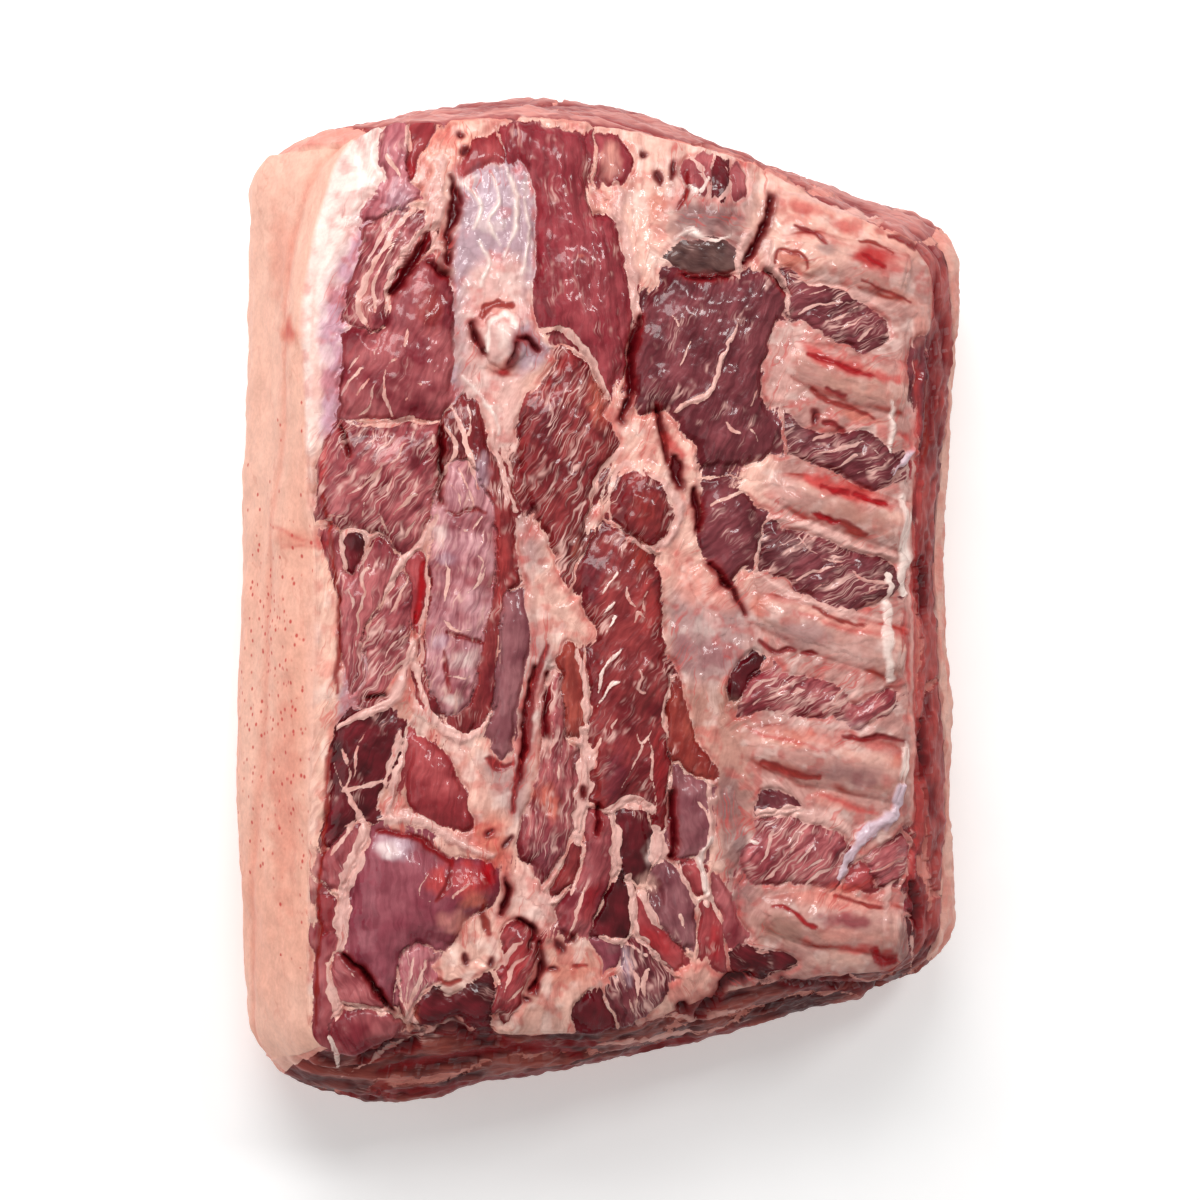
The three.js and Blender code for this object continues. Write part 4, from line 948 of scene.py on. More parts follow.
def outline_point(outline, u, v):
    tu, tv = (u + 1) / 2, (v + 1) / 2
    x = mix(along(outline["left"], tv), along(outline["right"], tv), tu)
    y = mix(along(outline["near"], tu), along(outline["far"], tu), tv)
    return x, y


def ground_height(x, y):
    across = along(HEIGHT_ACROSS, (x / HALF_WIDTH + 1) / 2)
    return across + along(HEIGHT_ALONG, (y / HALF_LENGTH + 1) / 2)


def block_point(u, v, share):
    """A point of the block, before its fine relief: share is 0 at the foot and 1 at the face."""
    a, b = rounded_corner(u, v)
    belly, rim = outline_point(BELLY, a, b), outline_point(RIM, a, b)
    low = 1 - np.minimum(share / BELLY_AT, 1)
    t = np.clip((share - BELLY_AT) / (1 - BELLY_AT), 0, 1) ** WALL_CURVE
    swell = SWELL * np.sin(belly[1] / 17 + 3 * t) * np.cos(belly[0] / 21 - 2 * t) * np.sin(math.pi * t)
    out = 1 + swell / np.maximum(np.hypot(*belly), 20)
    scale = mix(1, FOOT_SCALE, low**3) * out
    x, y = (mix(w, r, t) * scale for w, r in zip(belly, rim))
    edge = np.minimum((1 - abs(u)) * HALF_WIDTH, (1 - abs(v)) * HALF_LENGTH)
    drop = EDGE_DROP * (1 - np.clip(edge / EDGE_WIDTH, 0, 1)) ** 2
    return np.stack([x, y, share * (ground_height(*rim) - drop)], -1)


def block_normal(u, v, share):
    """The way out of the block at points of its surface, the same for every piece there."""
    def change(du, dv, ds):
        ends = [
            block_point(np.clip(u + k * du, -1, 1), np.clip(v + k * dv, -1, 1), np.clip(share + k * ds, 0, 1))
            for k in (1, -1)
        ]
        return ends[0] - ends[1]

    step = 0.004
    across, lengthwise, upright = change(step, 0, 0), change(0, step, 0), change(0, 0, step)
    face = unit(np.cross(across, lengthwise)) * (share >= 1)[:, None]
    side = unit(np.cross(lengthwise, upright)) * (np.sign(u) * (abs(u) > OUTERMOST))[:, None]
    end = unit(np.cross(upright, across)) * (np.sign(v) * (abs(v) > OUTERMOST))[:, None]
    return unit(face + side + end)


def to_plan(points):
    """The plan is a level picture of the face, drawn from a point high above it."""
    scale = (PLAN_POINT[1] - points[:, 2]) / (PLAN_POINT[1] - PLAN_LEVEL)
    return PLAN_POINT[0] + (points[:, 0] - PLAN_POINT[0]) / scale, points[:, 1] / scale


def from_plan(px, py):
    x, y = np.asarray(px, float), np.asarray(py, float)
    for _ in range(3):
        scale = (PLAN_POINT[1] - ground_height(x, y)) / (PLAN_POINT[1] - PLAN_LEVEL)
        x, y = PLAN_POINT[0] + (px - PLAN_POINT[0]) * scale, py * scale
    return x, y


def rib_frame(rib):
    """Where a rib starts, its direction and its length."""
    start, end = (np.array(from_plan(*rib[key])) for key in ("from", "to"))
    run = np.linalg.norm(end - start)
    return start, (end - start) / run, run


def rib_place(rib, x, y):
    """How far along a rib, from 0 to 1, and how far to its side, from -1 to 1, points are."""
    start, (dx, dy), run = rib_frame(rib)
    t = ((x - start[0]) * dx + (y - start[1]) * dy) / run
    return t, ((y - start[1]) * dx - (x - start[0]) * dy) / (rib["wide"] / 2 * rib_girth(t))


def rib_girth(t):
    return mix(RIB_ROOT_SHARE, 1, np.sin(math.pi / 2 * np.clip(t / RIB_FLARE_AT, 0, 1)))


def bone_rise(x, y):
    """How far the ribs and bones lift what covers them."""
    rise = np.zeros(len(x))
    for rib in RIBS:
        t, off = rib_place(rib, x, y)
        band = np.clip(1 - off**2, 0, 1) ** 0.8
        ends = ease((t + 0.08) / 0.16) * ease((1.06 - t) / 0.09)
        rise = np.maximum(rise, 0.75 * RIB_PROUD * rib_girth(t) * band * ends)
    for bone in BONES:
        x0, y0 = from_plan(*bone["at"])
        off = np.hypot((x - x0) / bone["radii"][0], (y - y0) / bone["radii"][1])
        rise = np.maximum(rise, 0.6 * bone["proud"] * ease(1.4 - off))
    return rise


# ---------- distances to what is drawn ----------

def smooth_line(points, closed, steps=5):
    """Points on a smooth curve through the given ones."""
    if closed:
        padded = np.concatenate([points[-1:], points, points[:2]])
    else:
        padded = np.concatenate([2 * points[:1] - points[1:2], points, 2 * points[-1:] - points[-2:-1]])
    spans = len(padded) - 3
    f = np.linspace(0, 1, steps, endpoint=False)[None, :, None]
    a, b, c, d = (padded[k:k + spans, None] for k in range(4))
    curve = b + 0.5 * f * (c - a + f * (2 * a - 5 * b + 4 * c - d + f * (3 * (b - c) + d - a)))
    curve = curve.reshape(-1, 2)
    return curve if closed else np.concatenate([curve, points[-1:]])


def near_points(line, px, py, reach):
    low, high = line.min(0) - reach, line.max(0) + reach
    return np.flatnonzero((px > low[0]) & (px < high[0]) & (py > low[1]) & (py < high[1]))


def depth_in(outline, px, py):
    """Which points are near an outline, and how far each is inside it."""
    line = smooth_line(outline, True)
    near = near_points(line, px, py, REACH)
    x, y = px[near], py[near]
    best, inside = np.full(len(near), 1e9), np.zeros(len(near), bool)
    for (ax, ay), (bx, by) in zip(line, np.roll(line, -1, 0)):
        dx, dy = bx - ax, by - ay
        t = np.clip(((x - ax) * dx + (y - ay) * dy) / (dx * dx + dy * dy + 1e-12), 0, 1)
        best = np.minimum(best, (x - ax - t * dx) ** 2 + (y - ay - t * dy) ** 2)
        if dy:
            inside ^= ((ay > y) != (by > y)) & (x < ax + dx * (y - ay) / dy)
    return near, np.where(inside, 1, -1) * np.sqrt(best)


def depth_along(stroke, half_width, px, py):
    """Which points are near a stroke with tapering ends, and how far each is inside it."""
    line = smooth_line(stroke, False)
    near = near_points(line, px, py, half_width + 3)
    x, y = px[near], py[near]
    best = np.full(len(near), -1e9)
    last = len(line) - 1
    for k in range(last):
        (ax, ay), (bx, by) = line[k], line[k + 1]
        dx, dy = bx - ax, by - ay
        t = np.clip(((x - ax) * dx + (y - ay) * dy) / (dx * dx + dy * dy + 1e-12), 0, 1)
        place = (k + t) / last
        taper = 0.45 + 0.55 * np.sin(np.clip(place, 0.04, 0.96) * math.pi) ** 0.7
        distance = np.hypot(x - ax - t * dx, y - ay - t * dy)
        best = np.maximum(best, half_width * taper - distance)
    return near, best


# ---------- painting ----------

def fibres_at(px, py, turn, number):
    """Places across and along the fibres, in a field of its own for each number."""
    angle = np.radians(turn)
    cross = px * np.cos(angle) + py * np.sin(angle)
    length = py * np.cos(angle) - px * np.sin(angle)
    return np.stack([cross, length * FIBRE_STRETCH, np.full(len(px), 3.7 * number)], -1)


class Paint:
    """What is known at each point of a piece: how deep it is in the lean (below 0 it is fat), how
    marbled (below 0 it is rind with pores), the fibres, both colours and the relief."""

    def __init__(self, points):
        count = len(points)
        plan_x, plan_y = to_plan(points)
        self.plan = np.stack([plan_x, plan_y], -1)
        self.px = plan_x + 0.5 * noise(self.plan, 8, 1, 2) + 0.25 * noise(self.plan, 2.0, 2)
        self.py = plan_y + 0.5 * noise(self.plan, 8, 3, 2) + 0.25 * noise(self.plan, 2.0, 4)
        self.lean = np.full(count, -REACH)
        self.marbling = np.zeros(count)
        self.height = np.zeros(count)
        self.fibre = fibres_at(self.px, self.py, np.where(self.px > RIBS_FROM, RIB_FIBRES, 0), 0)
        self.lean_colour = np.tile(linear(LEAN_COLOURS["dark"][0]), (count, 1))
        self.fat_colour = np.tile(linear(COLOURS["cream"]), (count, 1))

    def tint(self, near, colour, cover, lean_too=True):
        """Lays a colour over some of the points."""
        cover = cover[:, None]
        self.fat_colour[near] = mix(self.fat_colour[near], linear(COLOURS[colour]), cover)
        if lean_too:
            self.lean_colour[near] = mix(self.lean_colour[near], linear(COLOURS[colour]), cover)

    def blend(self, other, weight):
        """Goes over to another paint where weight is 1."""
        for key in ("lean", "marbling", "height"):
            setattr(self, key, mix(getattr(self, key), getattr(other, key), weight))
        for key in ("lean_colour", "fat_colour"):
            setattr(self, key, mix(getattr(self, key), getattr(other, key), weight[:, None]))
        self.fibre = np.where(weight[:, None] > FIBRE_SWITCH, other.fibre, self.fibre)

    def picked(self, chosen):
        """The values of some of the points, for the mesh."""
        return {key: getattr(self, key)[chosen] for key in ATTRIBUTES}



def paint_muscles(paint):
    shade = 0.5 + 0.7 * noise(paint.plan, 5, 5, 3)
    second = np.full(len(paint.lean), -REACH)
    for number, (colour, turn, marbled, rise, outline) in enumerate(drawn(MUSCLES)):
        near, depth = depth_in(outline, paint.px, paint.py)
        fibre = fibres_at(paint.px[near], paint.py[near], turn, number)
        fringe = noise(fibre * (1, 1.7, 1), 1.5, 50, 2)
        depth = depth + GROWTH + FRINGE * fringe
        under = paint.lean[near]
        wins = (depth > under) | (depth > LATER_WINS)
        here, deep = near[wins], depth[wins]
        beside = np.minimum(depth, under) < 0
        second[near] = np.maximum(second[near], np.where(beside, np.minimum(depth, under), -REACH))
        paint.lean[here] = deep
        low, high = (linear(c) for c in LEAN_COLOURS[colour])
        paint.lean_colour[here] = mix(low, high, np.clip(shade[here], 0, 1)[:, None])
        paint.marbling[here] = marbled
        paint.fibre[here] = fibre[wins]
        dome = 1 - (1 - np.clip(deep / DOME_WIDTH, 0, 1)) ** 2
        paint.height[here] = np.where(deep > 0, DOME_SHARE * rise * dome, 0)
    apart = paint.lean - second
    seam = SEAM + SEAM_WAVE * noise(paint.plan, 6, 12, 2)
    filled = 0.5 * (NARROW_GAP + paint.lean + second)
    paint.lean = np.minimum(np.maximum(paint.lean, filled), apart - seam)


def paint_fat(paint):
    for colour, strength, soft, outline in drawn(SHEETS):
        near, depth = depth_in(outline, paint.px, paint.py)
        cover = strength * ease(0.5 + (depth + 0.5 * noise(paint.plan[near], 2.5, 9)) / (2 * soft))
        paint.tint(near, colour, cover, lean_too=False)
    everywhere = slice(None)
    # red stains, and white blotches that are partly painted highlights
    for colour, strength, size, seed, less in STAINS_AND_HIGHLIGHTS:
        cover = strength * ease(2.0 * noise(paint.plan, size, seed, 3) - less)
        paint.tint(everywhere, colour, cover, lean_too=False)
    paint.fat_colour *= (1 + 0.12 * noise(paint.plan, 2.4, 6, 3))[:, None]


def paint_ribs(paint, points):
    """A rib has a painted highlight along its upper side, painted shade towards its near side and broken red
    lines at both edges.
    """
    x, y = points[:, 0], points[:, 1]
    for number, rib in enumerate(RIBS):
        t, off = rib_place(rib, x, y)
        near = np.flatnonzero((abs(off) < 1.5) & (t > -0.1) & (t < 1.1))
        t, off = t[near], off[near]
        streak = 0.5 + 0.7 * noise(np.stack([off, 1.3 * t], -1), 0.28, 81 + number, 3)
        off = off + 0.1 * noise(paint.plan[near], 5, 14)
        inside = ease((t + 0.05) / 0.15) * ease((1.03 - t) / 0.05) * np.clip(streak, 0, 1)
        for colour, strength, place, width in RIB_TONES:
            cover = strength * np.exp(-(((off - place) / width) ** 2)) * inside
            paint.tint(near, colour, cover, lean_too=False)


def paint_relief(paint):
    bend = RIDGE_BEND * noise(paint.plan, 9, 17, 2)
    ridges = noise(paint.fibre * (1, 2.5, 1) + bend[:, None] * (1, 0, 0), 1.9, 8, 3)
    fold = noise(paint.plan, 5, 7, 3)
    lean_ridges = SMOOTH_RIDGES + MARBLED_RIDGES * np.clip(paint.marbling, 0, 1)
    coarse = np.where(paint.lean > 0, lean_ridges, FAT_RIDGES)
    paint.height += coarse * ridges + FOLD_HEIGHT * fold
    groove = np.exp(-((paint.lean - 0.2) / 0.8) ** 2)
    paint.height -= GROOVE_DEPTH * groove * (1 + 0.6 * noise(paint.plan, 6, 10))


def paint_edges(paint):
    """Where lean meets fat, the lean is painted darker along its edge, as shade in the groove there, and the
    fat is stained red.
    """
    everywhere = slice(None)
    # painted shade: dark colour along the lean's edge, where the groove round each muscle lies
    rim = 0.45 * np.exp(-(((paint.lean - 0.5) / 0.5) ** 2)) * ease(0.6 + noise(paint.plan, 5, 15))
    paint.lean_colour = mix(paint.lean_colour, linear(COLOURS["dark"]), rim[:, None])
    stain = 0.5 * np.exp(-(((paint.lean + 0.6) / 0.6) ** 2)) * ease(0.4 + noise(paint.plan, 4, 16))
    paint.tint(everywhere, "red", stain, lean_too=False)


def paint_patches(paint):
    ragged = 0.3 * noise(paint.plan, 2.6, 11, 2)
    for colour, strength, x, y, wide, long, turn, _ in drawn(PATCHES):
        reach = 1.6 * max(wide, long)
        near = np.flatnonzero((abs(paint.px - x) < reach) & (abs(paint.py - y) < reach))
        dx, dy = paint.px[near] - x, paint.py[near] - y
        angle = math.radians(turn)
        across = (dx * math.cos(angle) + dy * math.sin(angle)) / wide
        lengthwise = (dy * math.cos(angle) - dx * math.sin(angle)) / long
        paint.tint(near, colour, strength * ease(1.3 - np.hypot(across, lengthwise) + ragged[near]))


def paint_strokes(paint):
    wobble = noise(paint.plan, 2.6, 71, 2)
    fading = np.clip(0.8 + 0.6 * noise(paint.plan, 6, 72, 2), 0.25, 1)
    for kind, half_width, stroke in drawn(STROKES):
        colour, cover, rise, soft, shade_and_stain_halo = KINDS[kind]
        near, depth = depth_along(stroke, half_width, paint.px, paint.py)
        depth = depth + half_width * np.minimum(EDGE_WOBBLE * wobble[near], WOBBLE_LIMIT)
        # painted shade round gaps, holes and creases, a red stain round rust and blood; the dark fill of
        # gaps, holes and creases below is painted shade too
        if shade_and_stain_halo:
            paint.tint(near, "shade_and_stain_red", SHADE_AND_STAIN_HALO_COVER * ease(1 + depth / shade_and_stain_halo))
        inside = ease(0.5 + depth / (2 * soft))
        if kind == "strand":
            inside = inside * fading[near]
        paint.tint(near, colour, cover * inside, lean_too=kind not in PALE_KINDS)
        paint.height[near] += rise * ease(0.5 + depth / (2 * half_width)) * inside
        if kind in PALE_KINDS:
            paint.lean[near] = np.minimum(paint.lean[near], -2.2 * depth + 1.2 * (1 - fading[near]))


def end_paint(points, normals):
    """Cut meat at the ends and low on the right: muscles with pale seams between them, painted darker on the
    near end as shade and lighter on the far end as lit.
    """
    paint = Paint(points)
    ways = {
        "end": np.clip(-normals[:, 1], 0, 1),
        "far": np.clip(normals[:, 1], 0, 1),
        "side": abs(normals[:, 0]),
    }
    total = sum(weight**2 for weight in ways.values()) + 1e-6
    # dark and light tones mixed by the way a wall faces: painted shade on the near end, painted light on the
    # far end
    tones = [
        sum(linear(COLOURS[f"{name}_{tone}"]) * (weight**2 / total)[:, None] for name, weight in ways.items())
        for tone in ("low", "high")
    ]
    layer = points[:, 2] + LAYER_WAVE * noise(points, 13, 24, 2)
    level = np.stack([LAYERING * points[:, 0], LAYERING * points[:, 1], layer], -1)
    streak = noise(level, 5, 21, 3)
    paint.lean_colour = mix(*tones, ease(0.45 + 1.1 * streak)[:, None])
    paint.fat_colour = mix(tones[1], linear(COLOURS["salmon"]), 0.6)
    seam = abs(noise(level, 17, 23, 2))
    paint.lean = np.clip((seam - 0.05) * 18, -1.2, 4)
    paint.marbling = END_MARBLING * (1 - ways["side"])
    paint.height = 1.3 * streak + 0.5 * noise(points, 3, 22, 2) - 0.8 * (seam < 0.05)
    lengthwise = (points[:, 0] + points[:, 1]) * FIBRE_STRETCH
    paint.fibre = np.stack([points[:, 2], lengthwise, np.zeros(len(points))], -1)
    return paint


def rind_paint(points):
    """The skin: pale and smooth, with folds, a crease, blotches and pores."""
    paint = Paint(points)
    x, y, z = points.T
    level = np.stack([x * 0.6, y * 0.5, z], -1)
    blotch = noise(level, 22, 31, 3)
    orange = ease(0.35 + 0.9 * blotch - 0.25 * ease((y - 60) / 50))[:, None]
    colour = mix(linear(COLOURS["rind"]), linear(COLOURS["rind_orange"]), 0.75 * orange)
    crease = np.exp(-((z - 50 - 0.12 * y + 3 * noise(level, 25, 33)) / 2.2) ** 2)
    colour = mix(colour, linear(COLOURS["orange"]), (0.35 * crease)[:, None])
    foot = ease((36 - z) / 12) * ease((20 - y) / 60)
    colour = mix(colour, linear(COLOURS["orange"]), (0.2 * foot)[:, None])
    paint.fat_colour = colour * (1 + 0.06 * noise(points, 3, 36, 2))[:, None]
    paint.lean[:] = -5
    paint.marbling = -ease(1 - abs(y + 25) / 85) * ease((z - 25) / 12)
    fold = 1.2 * np.sin(z / 9 + 1.2 * noise(level, 30, 32)) * ease((y + 90) / 120)
    paint.height = fold - 0.5 * crease + 0.7 * noise(points, 9, 35, 3)
    return paint


def fat_end_paint(points):
    """The fat layer where the ends cut it: pale, with a little pink."""
    paint = Paint(points)
    pink = ease(0.5 + 0.9 * noise(points, 7, 41, 3))[:, None]
    paint.fat_colour = mix(linear(COLOURS["cream"]), linear(COLOURS["salmon"]), pink)
    paint.lean[:] = -5
    paint.height = 1.3 * noise(points * (LAYERING, LAYERING, 1.0), 5, 21, 3) + 0.5 * noise(points, 3, 22, 2)
    return paint


def finished_paint(points, share, normals, layers=()):
    """Paints points of the block: the face first, then other grounds, then patches and strokes."""
    paint = Paint(points)
    paint_muscles(paint)
    paint_fat(paint)
    paint_ribs(paint, points)
    paint_edges(paint)
    paint_relief(paint)
    # walls facing the ends and the right side take end_paint, with its painted shade on the near end and
    # painted light on the far end
    facing_end = ease((np.maximum(abs(normals[:, 1]), normals[:, 0]) - 0.45) / 0.3)
    below_rim = ease((0.985 - share) / 0.03)
    below_belly = ease((BELLY_AT + 0.02 - share) / 0.04)
    paint.blend(end_paint(points, normals), np.maximum(facing_end * below_rim, below_belly))
    for other, weight in layers:
        paint.blend(other, weight)
    unseen = share < BELLY_AT - 0.02
    paint.px[unseen] = 1e4
    paint_patches(paint)
    paint_strokes(paint)
    paint.height += bone_rise(points[:, 0], points[:, 1]) * (share >= 1)
    paint.height *= ease(points[:, 2] / 12)
    return paint


# ---------- materials ----------

class Shader:
    """A material's nodes, added one by one."""

    def __init__(self, name):
        self.material = bpy.data.materials.new(name)
        self.material.use_nodes = True
        self.tree = self.material.node_tree
        self.surface = self.tree.nodes["Principled BSDF"]

    def add(self, kind, inputs=None, **settings):
        node = self.tree.nodes.new("ShaderNode" + kind)
        for key, value in settings.items():
            setattr(node, key, value)
        self.feed(node, inputs or {})
        return node

    def feed(self, node, inputs):
        for key, value in inputs.items():
            if isinstance(value, bpy.types.NodeSocket):
                self.tree.links.new(value, node.inputs[key])
            else:
                node.inputs[key].default_value = value

    def attribute(self, name, output="Fac"):
        return self.add("Attribute", attribute_name=name).outputs[output]

    def noise(self, vector, scale, detail=2.0, roughness=0.5):
        inputs = {"Vector": vector, "Scale": scale, "Detail": detail, "Roughness": roughness}
        return self.add("TexNoise", inputs).outputs["Fac"]

    def ramp(self, value, low, high, to_low=0.0, to_high=1.0):
        inputs = {0: value, 1: low, 2: high, 3: to_low, 4: to_high}
        return self.add("MapRange", inputs, interpolation_type="SMOOTHSTEP").outputs[0]

    def math(self, operation, a, b=0.0, c=0.0):
        return self.add("Math", {0: a, 1: b, 2: c}, operation=operation).outputs[0]

    def ridge(self, vector, scale, width, detail=1.5):
        """Thin winding lines, 1 along their middle."""
        off = self.math("ABSOLUTE", self.math("SUBTRACT", self.noise(vector, scale, detail), 0.5))
        return self.ramp(off, 0.0, width, 1.0, 0.0)

    def blend(self, factor, a, b, mode="MIX"):
        node = self.add("Mix", data_type="RGBA", blend_type=mode)
        self.feed(node, {0: factor, 6: a, 7: b})
        return node.outputs[2]

    def bump(self, height, distance, strength=1.0):
        inputs = {"Height": height, "Distance": distance, "Strength": strength}
        return self.add("Bump", inputs).outputs["Normal"]


def shader_colour(name):
    return (*linear(COLOURS[name]), 1.0)


def bent_fibres(s, place):
    """Fibre coordinates that wander a little, so that the strands aren't straight."""
    wander = s.add("TexNoise", {"Vector": place, "Scale": 170.0, "Detail": 2.0}).outputs["Color"]
    centred = s.add("VectorMath", {0: wander, 1: (0.5, 0.5, 0.5)}, operation="SUBTRACT").outputs[0]
    inputs = {0: centred, 1: (3.0, 0.3, 0.0), 2: s.attribute("fibre", "Vector")}
    return s.add("VectorMath", inputs, operation="MULTIPLY_ADD").outputs[0]


def lean_look(s, place, fibre):
    """Colour of the lean: dark and light bundles of fibres, with pale strands of fat."""
    bundle = s.noise(fibre, 0.75, 3.0, 0.6)
    tint = s.blend(s.ramp(bundle, 0.33, 0.66), (0.56, 0.38, 0.44, 1.0), (1.2, 1.26, 1.24, 1.0))
    contrast = s.math("MULTIPLY_ADD", s.attribute("marbling"), 0.7, 0.3)
    red = s.blend(contrast, s.attribute("lean_colour", "Color"), tint, "MULTIPLY")
    gate = s.math("MULTIPLY_ADD", s.noise(place, 150.0, 2.0, 0.6), 3.2, -2.1)
    amount = s.ramp(s.math("ADD", s.attribute("marbling"), gate), 0.1, 0.9)
    coarse = s.ridge(fibre, 0.34, 0.04)
    fine = s.math("MULTIPLY", s.ridge(fibre, 0.95, 0.07), 0.5)
    strands = s.math("MULTIPLY", s.math("MAXIMUM", coarse, fine), amount)
    return s.blend(strands, red, shader_colour("pink")), bundle


def fat_look(s, place, fibre, fine):
    """Colour of fat, skins and rind: streaked, with thin red veins, and pores on the rind."""
    on_meat = s.ramp(s.attribute("lean"), -4.9, -4.0, 0.25, 1.0)
    streak = s.ramp(s.noise(fibre, 0.55, 3.0, 0.62), 0.3, 0.7, -0.2, 0.14)
    mottle = s.ramp(fine, 0.3, 0.7, -0.05, 0.04)
    tone = s.math("ADD", s.math("MULTIPLY_ADD", streak, on_meat, 1.0), mottle)
    warm = s.math("POWER", tone, 1.35)
    shade = s.add("CombineColor", {0: tone, 1: warm, 2: warm}).outputs[0]
    fat = s.blend(1.0, s.attribute("fat_colour", "Color"), shade, "MULTIPLY")
    vein = s.math("MULTIPLY", s.ridge(fibre, 0.3, 0.022, 2.0), s.ramp(s.noise(place, 70.0, 1.0), 0.42, 0.6))
    fat = s.blend(s.math("MULTIPLY", s.math("MULTIPLY", vein, 0.6), on_meat), fat, shader_colour("red"))
    cells = s.add("TexVoronoi", {"Vector": place, "Scale": 420.0})
    dot = s.ramp(cells.outputs["Distance"], 0.12, 0.34, 1.0, 0.0)
    chance = s.add("SeparateColor", {0: cells.outputs["Color"]}).outputs[0]
    density = s.math("MULTIPLY", s.attribute("marbling"), -0.8)
    pore = s.math("MULTIPLY", dot, s.math("LESS_THAN", chance, density))
    return s.blend(s.math("MULTIPLY", pore, 0.9), fat, shader_colour("red"))


def flesh_material(name, gloss, shine, grain):
    """Lean with its fibres and marbling, over fat and skins with a fine grain."""
    s = Shader(name)
    place = s.add("TexCoord").outputs["Object"]
    fibre = bent_fibres(s, place)
    fine = s.noise(place, 900.0, 3.0)
    lean_colour, bundle = lean_look(s, place, fibre)
    fat_colour = fat_look(s, place, fibre, fine)
    fringe = s.math("MULTIPLY_ADD", s.noise(fibre, 1.2, 2.0, 0.6), 1.8, -0.9)
    ragged = s.math("MULTIPLY_ADD", s.noise(place, 1300.0), 0.7, -0.35)
    depth = s.math("ADD", s.attribute("lean"), s.math("ADD", fringe, ragged))
    lean = s.ramp(depth, -0.12, 0.2)
    rough = s.math("ADD", s.math("MULTIPLY_ADD", lean, -0.1, 0.42), s.math("MULTIPLY_ADD", fine, 0.2, -0.1))
    height = s.math("MULTIPLY_ADD", bundle, s.ramp(s.attribute("lean"), -0.3, 0.3, 0.3, 1.0),
                    s.math("MULTIPLY", fine, 0.3))
    s.feed(s.surface, {
        "Base Color": s.blend(lean, fat_colour, lean_colour), "Roughness": rough,
        "Normal": s.bump(height, GRAIN_DEPTH, grain), "Coat Weight": gloss, "Coat Roughness": COAT_ROUGHNESS,
        "Specular IOR Level": shine, "IOR": REFRACTION,
    })
    return s.material


# ---------- meshes ----------

def box_surface(across, lengthwise, upright, faces):
    """Vertices and quads of some faces of a box of cells. The first three arguments are the places
    along its sides, from 0 to 1; a face is an axis and the end of it, 0 or -1."""
    sides = [np.asarray(s, float) for s in (across, lengthwise, upright)]
    shell = np.zeros([len(s) for s in sides], bool)
    spots = []
    for axis, end in faces:
        spot = [slice(None)] * 3
        spot[axis] = end
        spots.append(tuple(spot))
        shell[tuple(spot)] = True
    index = np.full(shell.shape, -1)
    index[shell] = np.arange(shell.sum())
    quads = []
    for (axis, end), spot in zip(faces, spots):
        face = index[spot]
        a, b, c, d = face[:-1, :-1], face[1:, :-1], face[1:, 1:], face[:-1, 1:]
        ring = (a, d, c, b) if (axis == 1) != (end == 0) else (a, b, c, d)
        quads.append(np.stack(ring, -1).reshape(-1, 4))
    grid = np.stack(np.meshgrid(*sides, indexing="ij"), -1)
    return grid[shell], np.concatenate(quads)


def open_edges(quads):
    """Edges that only one quad has."""
    edges = np.concatenate([quads[:, [k, (k + 1) % 4]] for k in range(4)])
    pairs = np.sort(edges, 1)
    keys = pairs[:, 0] * (quads.max() + 1) + pairs[:, 1]
    _, first, counts = np.unique(keys, return_index=True, return_counts=True)
    return edges[first[counts == 1]]


def smooth_normals(points, quads):
    crossed = np.cross(points[quads[:, 2]] - points[quads[:, 0]], points[quads[:, 3]] - points[quads[:, 1]])
    normals = np.zeros_like(points)
    for corner in quads.T:
        for axis in range(3):
            normals[:, axis] += np.bincount(corner, crossed[:, axis], len(points))
    return unit(normals)


def closed(points, quads, normals, values, middle):
    """Closes a surface behind its rim, by a steep ring and then a fan round a point inside."""
    rim = open_edges(quads)
    rim_points, corner = np.unique(rim, return_inverse=True)
    corner = corner.reshape(-1, 2) + len(points)
    ring_quads = np.stack([rim[:, 1], rim[:, 0], corner[:, 0], corner[:, 1]], -1)
    fan = np.stack([corner[:, 1], corner[:, 0], np.full(len(rim), len(points) + len(rim_points))], -1)
    if len(rim):
        ring = mix(points[rim_points], np.asarray(middle, float), RING_INWARD)
        points = np.vstack([points, ring, middle])
        normals = np.vstack([normals, normals[rim_points], [0, 0, 1]])
        values = {key: np.concatenate([v, v[rim_points], v[:1]]) for key, v in values.items()}
    return points, np.concatenate([quads, ring_quads]), fan, normals, values


def bare_mesh(name, points, quads, fan, normals):
    mesh = bpy.data.meshes.new(name)
    mesh.vertices.add(len(points))
    mesh.vertices.foreach_set("co", (points * MM).ravel())
    loops = np.concatenate([quads.ravel(), fan.ravel()])
    sizes = np.concatenate([np.full(len(quads), 4), np.full(len(fan), 3)])
    mesh.loops.add(len(loops))
    mesh.loops.foreach_set("vertex_index", loops)
    mesh.polygons.add(len(sizes))
    mesh.polygons.foreach_set("loop_start", np.concatenate([[0], np.cumsum(sizes)[:-1]]))
    mesh.update(calc_edges=True)
    mesh.shade_smooth()
    mesh.normals_split_custom_set_from_vertices(normals)
    return mesh


def set_attributes(mesh, values):
    """Gives the painted values to the mesh, for its materials."""
    for key, kind in ATTRIBUTES.items():
        layer = mesh.attributes.new(key, kind, "POINT")
        data = values[key]
        if kind == "FLOAT_COLOR":
            data = np.concatenate([np.clip(data, 0, 1), np.ones((len(data), 1))], -1)
        layer.data.foreach_set(FIELDS[kind], np.ascontiguousarray(data, dtype=np.float32).ravel())


